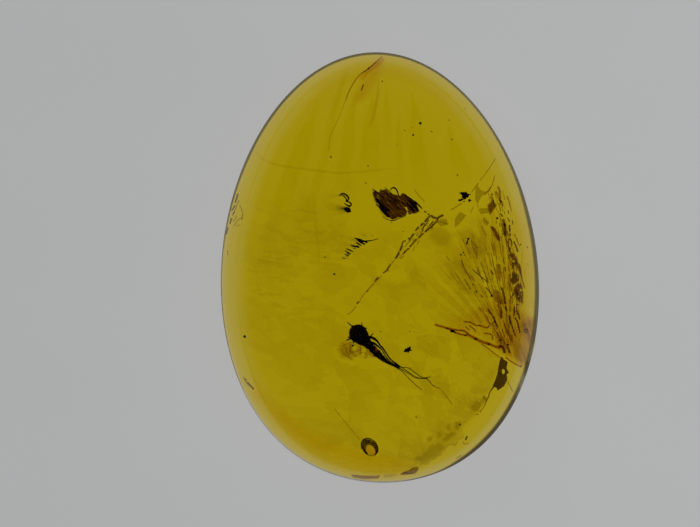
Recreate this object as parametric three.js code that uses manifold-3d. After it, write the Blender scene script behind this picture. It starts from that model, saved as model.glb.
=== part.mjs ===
// A polished amber cabochon with a gnat and bits of plant debris sealed inside it.
// Millimetres, +Z up. The stone lies on its flat back at z = 0, its long way is along Y,
// and the origin is under its middle. The amber is parted level at the debris, in two halves.
import * as THREE from 'three';
import { mergeVertices } from 'three/addons/utils/BufferGeometryUtils.js';
import Module from 'manifold-3d';

// The stone
const LENGTH = 22;
const WIDTH = 16.2;
const HEIGHT = 5.4;
const GIRDLE_HEIGHT = 1.3;
const TAPER = 0.1; // how much the upper end narrows
const LEAN = 0.2; // how far the upper end leans to the left
const SHOULDER = 0.11; // how far the two ends are drawn in
const BELLY = 0.14; // how far the sides swell lengthwise
const DOME_FULLNESS = 2.1; // 2 is an ellipse, more is squarer
const BACK_SHARE = 0.9; // size of the flat back against the whole outline
const BACK_SHIFT = [-0.35, 0.15];
const APEX_SHIFT = [-0.3, -0.7];
const STEPS_AROUND = 90;
const STEPS_UP = 13;
const STEPS_DOWN = 7;

// The level at which the amber is parted, through the middle of everything sealed in it
const SEAM_HEIGHT = 2.4;

// The gnat: stations of x, y, height above the seam, and radius
const BODY = [
  [-1.39, -3.08, 0, 0.1],
  [-1.27, -3.12, 0, 0.31],
  [-1.06, -3.19, 0, 0.42],
  [-0.85, -3.36, 0, 0.4],
  [-0.69, -3.58, 0, 0.3],
  [-0.49, -3.8, 0, 0.25],
  [-0.26, -4.04, 0, 0.25],
  [-0.03, -4.26, 0, 0.22],
  [0.16, -4.43, 0, 0.17],
  [0.33, -4.57, 0, 0.1],
  [0.47, -4.69, 0, 0.05],
];
const HEAD = { at: [-1.3, -3.33, 0.05], size: [0.19, 0.17, 0.21] };
const LEGS = [
  [
    [-0.62, -3.38, 0.18, 0.07],
    [-0.37, -3.43, 0.3, 0.07],
    [-0.15, -3.58, 0.3, 0.06],
    [0.03, -3.84, 0.24, 0.05],
    [0.22, -4.07, 0.2, 0.04],
    [0.42, -4.39, 0.16, 0.04],
    [0.9, -4.83, 0.12, 0.04],
    [1.31, -4.89, 0.1, 0.04],
    [1.64, -5.1, 0.12, 0.03],
    [2.03, -5.37, 0.15, 0.03],
    [2.41, -5.33, 0.18, 0.03],
  ],
  [
    [-0.55, -3.62, 0.05, 0.07],
    [-0.32, -3.7, 0.12, 0.07],
    [-0.08, -3.85, 0.1, 0.06],
    [0.16, -4.12, 0, 0.04],
    [0.36, -4.43, -0.04, 0.04],
    [0.96, -4.92, -0.06, 0.04],
    [1.39, -5.18, -0.03, 0.04],
    [1.73, -5.39, 0, 0.03],
    [2.23, -5.44, 0.02, 0.03],
    [2.51, -5.76, 0.04, 0.03],
    [2.88, -5.92, 0.06, 0.03],
  ],
  [
    [-0.5, -3.76, -0.15, 0.07],
    [-0.31, -4.14, -0.27, 0.07],
    [-0.03, -4.43, -0.26, 0.06],
    [0.25, -4.64, -0.2, 0.04],
    [0.92, -4.96, -0.14, 0.04],
    [1.39, -5.41, -0.1, 0.04],
    [1.73, -5.75, -0.08, 0.03],
    [1.99, -5.95, -0.06, 0.03],
  ],
  [
    [-1.07, -3.34, 0.25, 0.06],
    [-1.37, -3.51, 0.34, 0.05],
    [-1.55, -3.39, 0.28, 0.03],
  ],
  [
    [-1.06, -3.38, -0.1, 0.06],
    [-1.43, -3.52, -0.22, 0.04],
    [-1.68, -3.57, -0.22, 0.03],
  ],
  [
    [-0.92, -3.38, -0.2, 0.06],
    [-1.17, -3.56, -0.33, 0.05],
    [-1.31, -3.8, -0.26, 0.03],
  ],
];
const ANTENNAE = [
  [
    [-1.25, -2.96, 0.1, 0.04],
    [-1.43, -2.8, 0.12, 0.03],
    [-1.6, -2.67, 0.14, 0.02],
  ],
  [
    [-0.95, -2.96, 0.1, 0.04],
    [-0.89, -2.79, 0.12, 0.03],
    [-0.91, -2.65, 0.14, 0.02],
  ],
];
const WING_THICKNESS = 0.06;
const WINGS = [
  {
    height: -0.12,
    outline: [
      [-0.88, -3.43],
      [-1.39, -3.56],
      [-1.85, -3.78],
      [-1.91, -4.12],
      [-1.63, -4.35],
      [-1.25, -4.28],
      [-0.69, -3.68],
    ],
  },
  {
    height: 0.06,
    outline: [
      [-0.78, -3.57],
      [-1.2, -3.9],
      [-1.24, -4.43],
      [-0.78, -4.35],
      [-0.35, -4.4],
      [-0.31, -4.09],
    ],
  },
];

// The frayed plant fragment
const FRAGMENT_THICKNESS = 0.22;
const FRAGMENT_OUTLINE = [
  [-0.46, 3.49],
  [-0.34, 3.61],
  [-0.42, 3.78],
  [-0.15, 3.76],
  [0.12, 3.93],
  [0.25, 3.82],
  [0.67, 3.87],
  [1.02, 3.62],
  [1.69, 3.11],
  [1.97, 2.85],
  [1.86, 2.65],
  [1.46, 2.67],
  [1.34, 2.59],
  [0.86, 2.34],
  [0.55, 2.28],
  [0.16, 2.35],
  [-0.19, 3.11],
];
const FRAGMENT_RIDGES = [
  [
    [-0.23, 3.54, 0.1, 0.09],
    [0.23, 3.04, 0.12, 0.11],
    [0.65, 2.47, 0.1, 0.08],
  ],
  [
    [0.19, 3.76, 0.1, 0.08],
    [0.65, 3.28, 0.12, 0.11],
    [1.07, 2.66, 0.1, 0.08],
  ],
  [
    [0.65, 3.71, 0.08, 0.07],
    [1.16, 3.23, 0.1, 0.1],
    [1.67, 2.8, 0.08, 0.07],
  ],
];

// The small debris
const CURL = [
  [-1.93, 3.51, 0.05, 0.04],
  [-1.79, 3.58, 0.08, 0.05],
  [-1.59, 3.48, 0.1, 0.06],
  [-1.54, 3.29, 0.06, 0.06],
  [-1.39, 3.13, 0, 0.06],
  [-1.42, 2.96, 0, 0.05],
  [-1.51, 2.85, 0, 0.05],
];
const CURL_DROP = { at: [-1.55, 2.79, 0], size: [0.19, 0.13, 0.13] };
const TUFT_RACHIS = [
  [-0.13, 1.37, 0, 0.03],
  [-0.59, 1.27, 0, 0.05],
  [-0.76, 1.13, 0, 0.05],
  [-1.03, 0.96, 0, 0.04],
  [-1.28, 0.76, 0, 0.04],
  [-1.64, 0.4, 0, 0.03],
];
const TUFT_BARBS = 6;
const BARB_LENGTH = 0.46;
const BARB_RADIUS = 0.05;
const FLAKE_THICKNESS = 0.12;
const FLAKE_OUTLINE = [
  [5.87, -4.44],
  [6.15, -4.73],
  [6.2, -5.14],
  [6.1, -5.65],
  [5.75, -6.03],
  [5.48, -5.91],
  [5.55, -5.44],
  [5.74, -4.95],
];
const FLAKE_HOLE = { at: [5.96, -5.14], radius: 0.08, sides: 10 };
const GRAINS = [
  { name: 'grain_by_insect', at: [1.32, -4, 0], size: [0.16, 0.14, 0.12] },
  { name: 'grain_upper_right', at: [4.04, 3.42, 0], size: [0.25, 0.24, 0.2] },
];

// The hollows: x, y, half sizes along, across and up, and the turn of the long way
const POCKETS = [
  { at: [-0.5, -3.81], half: [1.9, 1.05, 0.9], turn: -41 },
  { at: [-1.15, -3.9], half: [1.25, 0.98, 0.72], turn: 0 },
  { at: [-1.25, -2.96], half: [0.85, 0.7, 0.5], turn: 0 },
  { at: [1.75, -5.33], half: [1.75, 0.9, 0.6], turn: -22 },
  { at: [0.74, 3.13], half: [1.95, 1.4, 0.62], turn: -25 },
  { at: [-1.62, 3.18], half: [0.78, 0.88, 0.5], turn: 0 },
  { at: [-0.95, 0.92], half: [1.4, 0.85, 0.45], turn: 31 },
  { at: [5.83, -5.23], half: [1.2, 0.72, 0.42], turn: 73 },
  { at: [1.32, -4], half: [0.48, 0.46, 0.44], turn: 0 },
  { at: [4.04, 3.42], half: [0.58, 0.57, 0.53], turn: 0 },
];
const BUBBLE = { at: [-0.51, -8.75], half: [0.49, 0.54, 0.42], turn: 0 };

const AMBER = { color: 0xb8960f, roughness: 0.05, metalness: 0, transparent: true, opacity: 0.45 };
const CUTICLE = { color: 0x15100a, roughness: 0.45, metalness: 0 };
const BARK = { color: 0x2b140a, roughness: 0.7, metalness: 0 };

const wasm = await Module();
wasm.setup();

const QUARTER_TURN = Math.PI / 2;

// A three.js geometry as a solid that can be joined and cut
function solid(geometry) {
  geometry.deleteAttribute('normal');
  geometry.deleteAttribute('uv');
  const merged = mergeVertices(geometry, 1e-5);
  return new wasm.Manifold(new wasm.Mesh({
    numProp: 3,
    vertProperties: new Float32Array(merged.attributes.position.array),
    triVerts: new Uint32Array(merged.index.array),
  }));
}

// A solid back as a named mesh
function piece(name, shape, finish) {
  const { vertProperties, triVerts } = shape.getMesh();
  const geometry = new THREE.BufferGeometry();
  geometry.setAttribute('position', new THREE.BufferAttribute(vertProperties, 3));
  geometry.setIndex(new THREE.BufferAttribute(triVerts, 1));
  geometry.computeVertexNormals();
  const mesh = new THREE.Mesh(geometry, new THREE.MeshStandardMaterial(finish));
  mesh.name = name;
  return mesh;
}

function join(shapes) {
  return shapes.reduce((whole, next) => whole.add(next));
}

// The egg-shaped outline, as a point at a turn around it
function rim(turn) {
  const across = Math.cos(turn);
  const along = Math.sin(turn);
  const narrowing = 1 - TAPER * along - SHOULDER * along ** 2;
  return [
    (WIDTH / 2) * across * narrowing - LEAN * along,
    (LENGTH / 2) * along * (1 + BELLY * across ** 2),
  ];
}

// How far the outline has drawn in, the height and the sideways shift, up the dome
function domeLevel(part) {
  const fullness = 2 / DOME_FULLNESS;
  const share = part < 1 ? Math.cos(part * QUARTER_TURN) ** fullness : 0;
  const height = GIRDLE_HEIGHT + (HEIGHT - GIRDLE_HEIGHT) * Math.sin(part * QUARTER_TURN) ** fullness;
  return { share, height, shift: APEX_SHIFT.map((reach) => reach * (1 - share)) };
}

// The same under the girdle, down to the flat back, whose last level is its middle
function backLevel(part) {
  const bend = Math.cos(Math.min(part, 1) * QUARTER_TURN);
  const height = part < 1 ? GIRDLE_HEIGHT * (1 - Math.sin(part * QUARTER_TURN)) : 0;
  const share = part > 1 ? 0 : BACK_SHARE + (1 - BACK_SHARE) * bend;
  return { share, height, shift: BACK_SHIFT.map((reach) => reach * (1 - bend)) };
}

// The whole stone: a ball whose rows of latitude are laid on the levels above
function stone() {
  const rows = STEPS_UP + STEPS_DOWN + 1;
  const ball = new THREE.SphereGeometry(1, STEPS_AROUND, rows);
  const spots = ball.attributes.position;
  for (let i = 0; i < spots.count; i += 1) {
    const row = Math.round((1 - ball.attributes.uv.getY(i)) * rows * 2) / 2;
    const column = Math.round(ball.attributes.uv.getX(i) * STEPS_AROUND * 2) / 2;
    const upper = row <= STEPS_UP;
    const level = upper ? domeLevel(1 - row / STEPS_UP) : backLevel((row - STEPS_UP) / STEPS_DOWN);
    const [x, y] = rim(2 * Math.PI * ((column % STEPS_AROUND) / STEPS_AROUND) + Math.PI);
    spots.setXYZ(i, x * level.share + level.shift[0], y * level.share + level.shift[1], level.height);
  }
  return solid(ball);
}

// A closed, tapering rod along a smooth curve through stations of x, y, height and radius
function rod(stations, sides, steps) {
  const points = stations.map(([x, y, z]) => new THREE.Vector3(x, y, z + SEAM_HEIGHT));
  const curve = new THREE.CatmullRomCurve3(points);
  const frames = curve.computeFrenetFrames(steps);
  const bar = new THREE.CylinderGeometry(1, 1, 1, sides, steps);
  const spots = bar.attributes.position;
  for (let i = 0; i < spots.count; i += 1) {
    const step = Math.round((spots.getY(i) + 0.5) * steps);
    const place = curve.getUtoTmapping(step / steps) * (stations.length - 1);
    const before = Math.min(Math.floor(place), stations.length - 2);
    const radius = THREE.MathUtils.lerp(stations[before][3], stations[before + 1][3], place - before);
    const spot = curve.getPointAt(step / steps);
    spot.addScaledVector(frames.normals[step], spots.getX(i) * radius);
    spot.addScaledVector(frames.binormals[step], -spots.getZ(i) * radius);
    spots.setXYZ(i, spot.x, spot.y, spot.z);
  }
  return solid(bar);
}

// A rounded lump; lumpiness dents it in a fixed pattern
function lump([x, y, z], size, lumpiness, columns, rows) {
  const ball = new THREE.SphereGeometry(1, columns, rows);
  ball.rotateX(QUARTER_TURN);
  const spots = ball.attributes.position;
  for (let i = 0; i < spots.count; i += 1) {
    const [a, b, c] = [spots.getX(i), spots.getY(i), spots.getZ(i)];
    const dent = 1 + lumpiness * Math.sin(5 * a + 1) * Math.sin(4 * b + 2) * Math.cos(3 * c);
    spots.setXYZ(i, a * dent * size[0], b * dent * size[1], c * dent * size[2]);
  }
  ball.translate(x, y, z + SEAM_HEIGHT);
  return solid(ball);
}

// A level slice with a given outline, its middle at a height above the seam
function slice(outline, thickness, height) {
  const shape = new THREE.Shape(outline.map(([x, y]) => new THREE.Vector2(x, y)));
  const slab = new THREE.ExtrudeGeometry(shape, { depth: thickness, bevelEnabled: false });
  slab.translate(0, 0, SEAM_HEIGHT + height - thickness / 2);
  return solid(slab);
}

// An egg-shaped hollow across the seam
function hollow({ at, half, turn }) {
  const ball = new THREE.SphereGeometry(1, 12, 6);
  ball.rotateX(QUARTER_TURN);
  ball.scale(...half);
  ball.rotateZ(THREE.MathUtils.degToRad(turn));
  ball.translate(at[0], at[1], SEAM_HEIGHT);
  return solid(ball);
}

// The two amber halves, parted level at the seam, each with its share of the hollows
function amberHalves() {
  const whole = stone().subtract(join([...POCKETS, BUBBLE].map(hollow)));
  const block = new THREE.BoxGeometry(2 * WIDTH, 2 * LENGTH, SEAM_HEIGHT + 1);
  block.translate(0, 0, (SEAM_HEIGHT - 1) / 2);
  const under = solid(block);
  return [
    piece('amber_base', whole.intersect(under), AMBER),
    piece('amber_dome', whole.subtract(under), AMBER),
  ];
}

function insect() {
  const parts = [
    rod(BODY, 12, 20),
    lump(HEAD.at, HEAD.size, 0, 10, 8),
    ...LEGS.map((leg) => rod(leg, 6, leg.length + 3)),
    ...ANTENNAE.map((feeler) => rod(feeler, 6, feeler.length + 1)),
    ...WINGS.map((wing) => slice(wing.outline, WING_THICKNESS, wing.height)),
  ];
  return piece('insect', join(parts), CUTICLE);
}

function plantFragment() {
  const scrap = slice(FRAGMENT_OUTLINE, FRAGMENT_THICKNESS, 0);
  const ridges = FRAGMENT_RIDGES.map((ridge) => rod(ridge, 8, 8));
  return piece('plant_fragment', join([scrap, ...ridges]), BARK);
}

function curledThread() {
  const drop = lump(CURL_DROP.at, CURL_DROP.size, 0.1, 10, 6);
  return piece('curled_thread', join([rod(CURL, 6, 18), drop]), CUTICLE);
}

// Barbs leave the bent midrib up and to the left, longest in the middle of the row
function frayedTuft() {
  const midrib = new THREE.CatmullRomCurve3(TUFT_RACHIS.map(([x, y, z]) => new THREE.Vector3(x, y, z)));
  const barbs = [];
  for (let i = 0; i < TUFT_BARBS; i += 1) {
    const root = midrib.getPointAt(0.3 + (0.62 * i) / (TUFT_BARBS - 1));
    const length = BARB_LENGTH * (1 - 0.06 * Math.abs(i - 1) ** 1.5);
    barbs.push(rod([
      [root.x + 0.02, root.y - 0.01, 0, BARB_RADIUS],
      [root.x - length * 0.45, root.y + length * 0.2, 0.03, BARB_RADIUS],
      [root.x - length * 0.9, root.y + length * 0.42, 0.05, BARB_RADIUS / 2],
    ], 6, 4));
  }
  return piece('frayed_tuft', join([rod(TUFT_RACHIS, 6, 12), ...barbs]), CUTICLE);
}

function barkFlake() {
  const { at, radius, sides } = FLAKE_HOLE;
  const punch = new THREE.CylinderGeometry(radius, radius, 3 * FLAKE_THICKNESS, sides);
  punch.rotateX(QUARTER_TURN);
  punch.translate(at[0], at[1], SEAM_HEIGHT);
  return piece('bark_flake', slice(FLAKE_OUTLINE, FLAKE_THICKNESS, 0).subtract(solid(punch)), BARK);
}

function grains() {
  return GRAINS.map(({ name, at, size }) => piece(name, lump(at, size, 0.25, 10, 7), CUTICLE));
}

const specimen = new THREE.Group();
specimen.add(
  ...amberHalves(),
  insect(),
  plantFragment(),
  curledThread(),
  frayedTuft(),
  barkFlake(),
  ...grains(),
);

export default specimen;
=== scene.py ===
import math
import random

import bpy
from mathutils import Matrix, Vector, noise
from mathutils.bvhtree import BVHTree


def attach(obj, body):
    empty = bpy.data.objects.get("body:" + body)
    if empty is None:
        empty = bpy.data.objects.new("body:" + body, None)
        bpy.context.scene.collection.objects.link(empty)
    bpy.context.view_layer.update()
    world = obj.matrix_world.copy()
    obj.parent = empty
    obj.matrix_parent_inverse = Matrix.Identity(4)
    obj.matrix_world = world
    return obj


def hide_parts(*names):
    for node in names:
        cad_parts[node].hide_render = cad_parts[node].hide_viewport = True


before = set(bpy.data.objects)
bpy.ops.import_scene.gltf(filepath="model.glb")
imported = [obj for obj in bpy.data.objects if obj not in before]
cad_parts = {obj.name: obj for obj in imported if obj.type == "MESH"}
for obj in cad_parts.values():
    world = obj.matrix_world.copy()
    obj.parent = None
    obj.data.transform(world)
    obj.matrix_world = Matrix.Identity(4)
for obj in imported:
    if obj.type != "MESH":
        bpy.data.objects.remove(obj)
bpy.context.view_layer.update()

# The view. The stone is looked at from straight above, a little to the left of its middle, and
# lies near the middle of a picture 700 wide and 527 high. Sizes here are in millimetres, and
# things sealed in the stone are placed by where that picture shows them.
MM = 0.001
PICTURE = (700, 527)
STONE_IN_PICTURE = (379.6, 267.4)
STONE_LENGTH = 22.0
STONE_LENGTH_IN_PICTURE = 430.25
PER_PIXEL = STONE_LENGTH / STONE_LENGTH_IN_PICTURE
LENS = 100
SENSOR = 36
GIRDLE_SEEN_AT = 1.5
camera_far = LENS * PICTURE[0] * PER_PIXEL / SENSOR
camera_at = Vector((
    (PICTURE[0] / 2 - STONE_IN_PICTURE[0]) * PER_PIXEL,
    (STONE_IN_PICTURE[1] - PICTURE[1] / 2) * PER_PIXEL,
    GIRDLE_SEEN_AT + camera_far,
))
lens = bpy.data.cameras.new("camera")
lens.lens = LENS
lens.sensor_width = SENSOR
lens.clip_start = 0.002
lens.clip_end = 20
camera = bpy.data.objects.new("camera", lens)
camera.location = camera_at * MM
bpy.context.scene.collection.objects.link(camera)
bpy.context.scene.camera = camera


# The stone. It is one piece of clear yellow amber, ground to an egg-shaped cabochon with a flat
# back and a low dome, and polished. Near its lower end it holds one air bubble. The halves that
# carry it in the frame are one solid here, with the bubble as a hollow inside.
STONE_WIDTH = 16.2
STONE_HEIGHT = 5.4
GIRDLE_HEIGHT = 1.3
TAPER = 0.1
LEAN = 0.2
SHOULDER = 0.11
BELLY = 0.14
DOME_FULLNESS = 2.1
BACK_SHARE = 0.8
BACK_FULLNESS = 3.0
BACK_SHIFT = Vector((-0.35, 0.15))
APEX_SHIFT = Vector((-0.3, -0.7))
AROUND, UP, DOWN = 288, 72, 36
AMBER_BENDING = 1.54
AMBER_TINT = (1.0, 0.79, 0.5, 1)
AMBER_COLOUR = (0.969, 0.96, 0.0, 1)
AMBER_DEPTH = 1000
POLISH_WAVE, POLISH_WAVES_PER_MM = 0.02, 0.4
LEAST_DEPTH = 0.06
SEAM = 2.4
BUBBLE_IN_PICTURE = (369.5, 447.4)
BUBBLE_SIZE = (0.61, 0.42, 0.39)
BUBBLE_TILT = math.radians(-35)
BUBBLE_HEADING = math.radians(-61)


def clamp(value, low=0, high=1):
    return min(max(value, low), high)


def rim(turn):
    across, along = math.cos(turn), math.sin(turn)
    narrowing = 1 - TAPER * along - SHOULDER * along ** 2
    return Vector((
        STONE_WIDTH / 2 * across * narrowing - LEAN * along,
        STONE_LENGTH / 2 * along * (1 + BELLY * across ** 2),
    ))


def side_row(part):
    """Share of the rim, height and shift of a ring: 0 is the girdle, 1 the top, -1 the flat back."""
    bend, rise = math.cos(part * math.pi / 2), math.sin(part * math.pi / 2)
    if part < 0:
        reach = bend ** (2 / BACK_FULLNESS)
        height = GIRDLE_HEIGHT * (1 - (-rise) ** (2 / BACK_FULLNESS))
        return BACK_SHARE + (1 - BACK_SHARE) * reach, height, BACK_SHIFT * (1 - reach)
    share = bend ** (2 / DOME_FULLNESS)
    height = GIRDLE_HEIGHT + (STONE_HEIGHT - GIRDLE_HEIGHT) * rise ** (2 / DOME_FULLNESS)
    return share, height, APEX_SHIFT * (1 - share)


def polish(flat):
    """The slight unevenness that hand polishing leaves, from 0 to 2."""
    return 1 + noise.noise(Vector((flat.x * POLISH_WAVES_PER_MM, flat.y * POLISH_WAVES_PER_MM, 2)))


def ring(part):
    """One ring of points round the stone."""
    share, height, shift = side_row(part)
    flats = [rim(2 * math.pi * j / AROUND) * share + shift for j in range(AROUND)]
    wave = POLISH_WAVE * (height - GIRDLE_HEIGHT) / (STONE_HEIGHT - GIRDLE_HEIGHT) if part > 0 else 0
    return [Vector((flat.x, flat.y, height - wave * polish(flat))) for flat in flats]


def band_faces(rows, columns):
    """Faces between closed rings of points."""
    faces = []
    for i in range(rows - 1):
        for j in range(columns):
            a, b = i * columns + j, i * columns + (j + 1) % columns
            faces.append((a, b, b + columns, a + columns))
    return faces


def stone_mesh():
    parts = [-i / DOWN for i in range(DOWN, 0, -1)] + [i / UP for i in range(UP)]
    points = [spot for part in parts for spot in ring(part)]
    faces = band_faces(len(parts), AROUND)
    last = (len(parts) - 1) * AROUND
    points += [Vector((*BACK_SHIFT, 0)), Vector((*APEX_SHIFT, STONE_HEIGHT - POLISH_WAVE))]
    for j in range(AROUND):
        k = (j + 1) % AROUND
        faces.append((k, j, len(points) - 2))
        faces.append((last + j, last + k, len(points) - 1))
    return points, faces


stone_points, stone_faces = stone_mesh()
stone_skin = BVHTree.FromPolygons(stone_points, stone_faces)


def place(px, py, height):
    """Where a thing at this height in the stone lies, if the picture shows it at px, py."""
    aim = Vector((
        (px - PICTURE[0] / 2) * PER_PIXEL,
        (PICTURE[1] / 2 - py) * PER_PIXEL,
        -camera_far,
    )).normalized()
    entry, normal, _, _ = stone_skin.ray_cast(camera_at, aim)
    if entry is None:
        return camera_at + aim * ((height - camera_at.z) / aim.z)
    facing = -normal.dot(aim)
    bent = aim / AMBER_BENDING
    bent += normal * (facing / AMBER_BENDING - math.sqrt(1 - (1 - facing ** 2) / AMBER_BENDING ** 2))
    bent.normalize()
    _, _, _, far = stone_skin.ray_cast(entry + bent * 0.01, bent)
    reach = (height - entry.z) / bent.z
    return entry + bent * clamp(reach, LEAST_DEPTH, max(far - LEAST_DEPTH, LEAST_DEPTH))


def mesh_piece(name, points, faces, materials, cover=None, picks=None):
    """A piece from points in millimetres; cover is a value per point, picks a material per face."""
    mesh = bpy.data.meshes.new(name)
    mesh.from_pydata([tuple(p * MM) for p in points], [], faces)
    for material in materials:
        mesh.materials.append(material)
    if picks:
        mesh.polygons.foreach_set("material_index", picks)
    if cover:
        mesh.attributes.new("cover", "FLOAT", "POINT").data.foreach_set("value", cover)
    mesh.polygons.foreach_set("use_smooth", [True] * len(mesh.polygons))
    mesh.update()
    piece = bpy.data.objects.new(name, mesh)
    bpy.context.scene.collection.objects.link(piece)
    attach(piece, "root")
    return piece


def shader(name):
    """A new node material, and short ways to add its nodes and to show the last of them.

    A node that is given as a value stands for its first output.
    """
    material = bpy.data.materials.new(name)
    material.use_nodes = True
    tree = material.node_tree
    tree.nodes.remove(tree.nodes["Principled BSDF"])

    def add(kind, values=None, **settings):
        node = tree.nodes.new("ShaderNode" + kind)
        for key, value in settings.items():
            setattr(node, key, value)
        for key, value in (values or {}).items():
            if isinstance(value, bpy.types.Node):
                value = value.outputs[0]
            if isinstance(value, bpy.types.NodeSocket):
                tree.links.new(value, node.inputs[key])
            else:
                node.inputs[key].default_value = value
        return node

    def show(surface, volume=None):
        output = tree.nodes["Material Output"]
        tree.links.new(surface.outputs[0], output.inputs["Surface"])
        if volume:
            tree.links.new(volume.outputs[0], output.inputs["Volume"])
        return material

    return add, show


def amber_material():
    add, show = shader("clear yellow amber")
    gem = add("BsdfPrincipled", {
        "Base Color": AMBER_TINT,
        "Roughness": 0.0,
        "IOR": AMBER_BENDING,
        "Transmission Weight": 1.0,
    })
    return show(gem, add("VolumeAbsorption", {"Color": AMBER_COLOUR, "Density": AMBER_DEPTH}))


def ball(size, columns, rows):
    """Points and faces of an egg shape about the origin, facing out."""
    points = [Vector((0, 0, size[2]))]
    for i in range(1, rows):
        tilt = math.pi * i / rows
        for j in range(columns):
            turn = 2 * math.pi * j / columns
            points.append(Vector((
                size[0] * math.sin(tilt) * math.cos(turn),
                size[1] * math.sin(tilt) * math.sin(turn),
                size[2] * math.cos(tilt),
            )))
    points.append(Vector((0, 0, -size[2])))
    faces = []
    last = 1 + (rows - 2) * columns
    for j in range(columns):
        k = (j + 1) % columns
        faces.append((0, 1 + j, 1 + k))
        faces.append((last + k, last + j, len(points) - 1))
        for i in range(rows - 2):
            row = 1 + i * columns
            faces.append((row + j, row + columns + j, row + columns + k, row + k))
    return points, faces


bubble_at = place(*BUBBLE_IN_PICTURE, SEAM)
bubble_turn = Matrix.Rotation(BUBBLE_HEADING, 3, "Z") @ Matrix.Rotation(BUBBLE_TILT, 3, "Y")
bubble_points, bubble_faces = ball(BUBBLE_SIZE, 64, 40)
offset = len(stone_points)
amber = mesh_piece(
    "amber",
    stone_points + [bubble_turn @ p + bubble_at for p in bubble_points],
    stone_faces + [tuple(offset + v for v in reversed(face)) for face in bubble_faces],
    [amber_material()],
)
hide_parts("amber_base", "amber_dome")


# The painted rim shade. It is a thin dull sheet just outside the edge of the dome, painted dark olive
# as shade where the steep edge turns the light from below away, and pale tan as painted light where
# the rim looks lighter. It is wide on the right, lower right and upper left, patchy low on the right,
# and absent at the bottom. Its widths are those the picture shows, in pixels, and angles run round
# from the right.
SKIN_OUTSET = 0.012
RIM_SHADE_BELOW = 0.06
RIM_SHADE_ROWS = 26
RIM_SHADE_COVER, RIM_SHADE_FADE = 0.97, 7
LEAST_PART = 0.01
PART_STEP, PART_STEPS = 0.001, 300
RIM_SHADE_WIDTHS = [
    (0, 4.8), (20, 4.4), (34, 3.4), (50, 3), (75, 2.8), (90, 2.9), (105, 3), (120, 3.3), (140, 3.2),
    (150, 2.4), (158, 2), (165, 1.6), (175, 1.1), (200, 0.8), (215, 0.4), (225, 0), (276, 0), (286, 1.6),
    (293, 3.8), (300, 5), (345, 5.2), (360, 4.8),
]
# Tones round the rim: 0 is painted dark shade, 1 is painted pale light.
RIM_SHADE_TONES = [
    (0, 0.42), (30, 0.5), (56, 0.65), (75, 0.55), (90, 0.4), (118, 0.32), (150, 0.45), (156, 0.3),
    (162, 0.7), (168, 0.45), (175, 0.9), (200, 1), (250, 1), (275, 0.85), (284, 0.6), (293, 0.15),
    (300, 0.02), (316, 0.06), (334, 0.25), (345, 0.4), (360, 0.42),
]
PATCHY = (317, 334)
# Colours of the painted rim, from dark olive shade to pale tan light.
RIM_SHADE_COLOURS = [(0.0, (0.28, 0.2, 0.06, 1)), (0.5, (0.6, 0.5, 0.24, 1)), (1.0, (0.97, 0.84, 0.42, 1))]
CLEAR = (1, 1, 1, 1)


def along_edge(table, degrees):
    """A value for an angle round the stone, from a table of angles and values."""
    for (low, first), (high, last) in zip(table, table[1:]):
        if degrees <= high:
            return first + (last - first) * (degrees - low) / (high - low)


def rim_shade_part(turn, outward, width):
    """How far up the side of the stone the painted rim shade must reach to be this wide in the picture."""
    farthest = -STONE_LENGTH
    for step in range(PART_STEPS):
        part = step * PART_STEP
        share, height, shift = side_row(part)
        flat = rim(turn) * share + shift
        seen = camera_at.xy + (flat - camera_at.xy) * camera_far / (camera_at.z - height)
        reach = seen.dot(outward)
        farthest = max(farthest, reach)
        if farthest - reach > width * PER_PIXEL:
            break
    return part


def colours(add, value, stops):
    """Colours along a value, from stops of place and colour."""
    ramp = add("ValToRGB", {"Fac": value})
    ends = ramp.color_ramp.elements
    ends[0].position, ends[0].color = stops[0]
    ends[1].position, ends[1].color = stops[-1]
    for at, colour in stops[1:-1]:
        ends.new(at).color = colour
    return ramp


def covered(add):
    """The cover that the mesh carries, from 0 for none to 1 for all."""
    return add("Attribute", attribute_name="cover").outputs["Fac"]


def mixed(add, cover, surface, beneath=CLEAR):
    """A surface that shows as far as its cover goes, with a see-through tint in its gaps."""
    gaps = add("BsdfTransparent", {"Color": beneath})
    return add("MixShader", {"Fac": cover, 1: gaps, 2: surface})


# The sheet's colour is painted rim shade, dark olive, and painted rim light, pale tan.
def rim_shade_material():
    add, show = shader("painted rim shade and light")
    rim_noise = add("TexNoise", {"Scale": 2600.0, "Detail": 5.0, "Roughness": 0.65})
    # A little noise varies the tone of the painted rim shade and light.
    worn = add("MapRange", {
        "Value": rim_noise,
        "From Min": 0.3,
        "From Max": 0.7,
        "To Min": -0.1,
        "To Max": 0.1,
    })
    rim_tone = add("Attribute", attribute_name="tone").outputs["Fac"]
    tone = colours(add, add("Math", {0: rim_tone, 1: worn}, operation="ADD", use_clamp=True), RIM_SHADE_COLOURS)
    dull = add("BsdfPrincipled", {"Base Color": tone, "Roughness": 0.7})
    return show(mixed(add, covered(add), dull))


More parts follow.
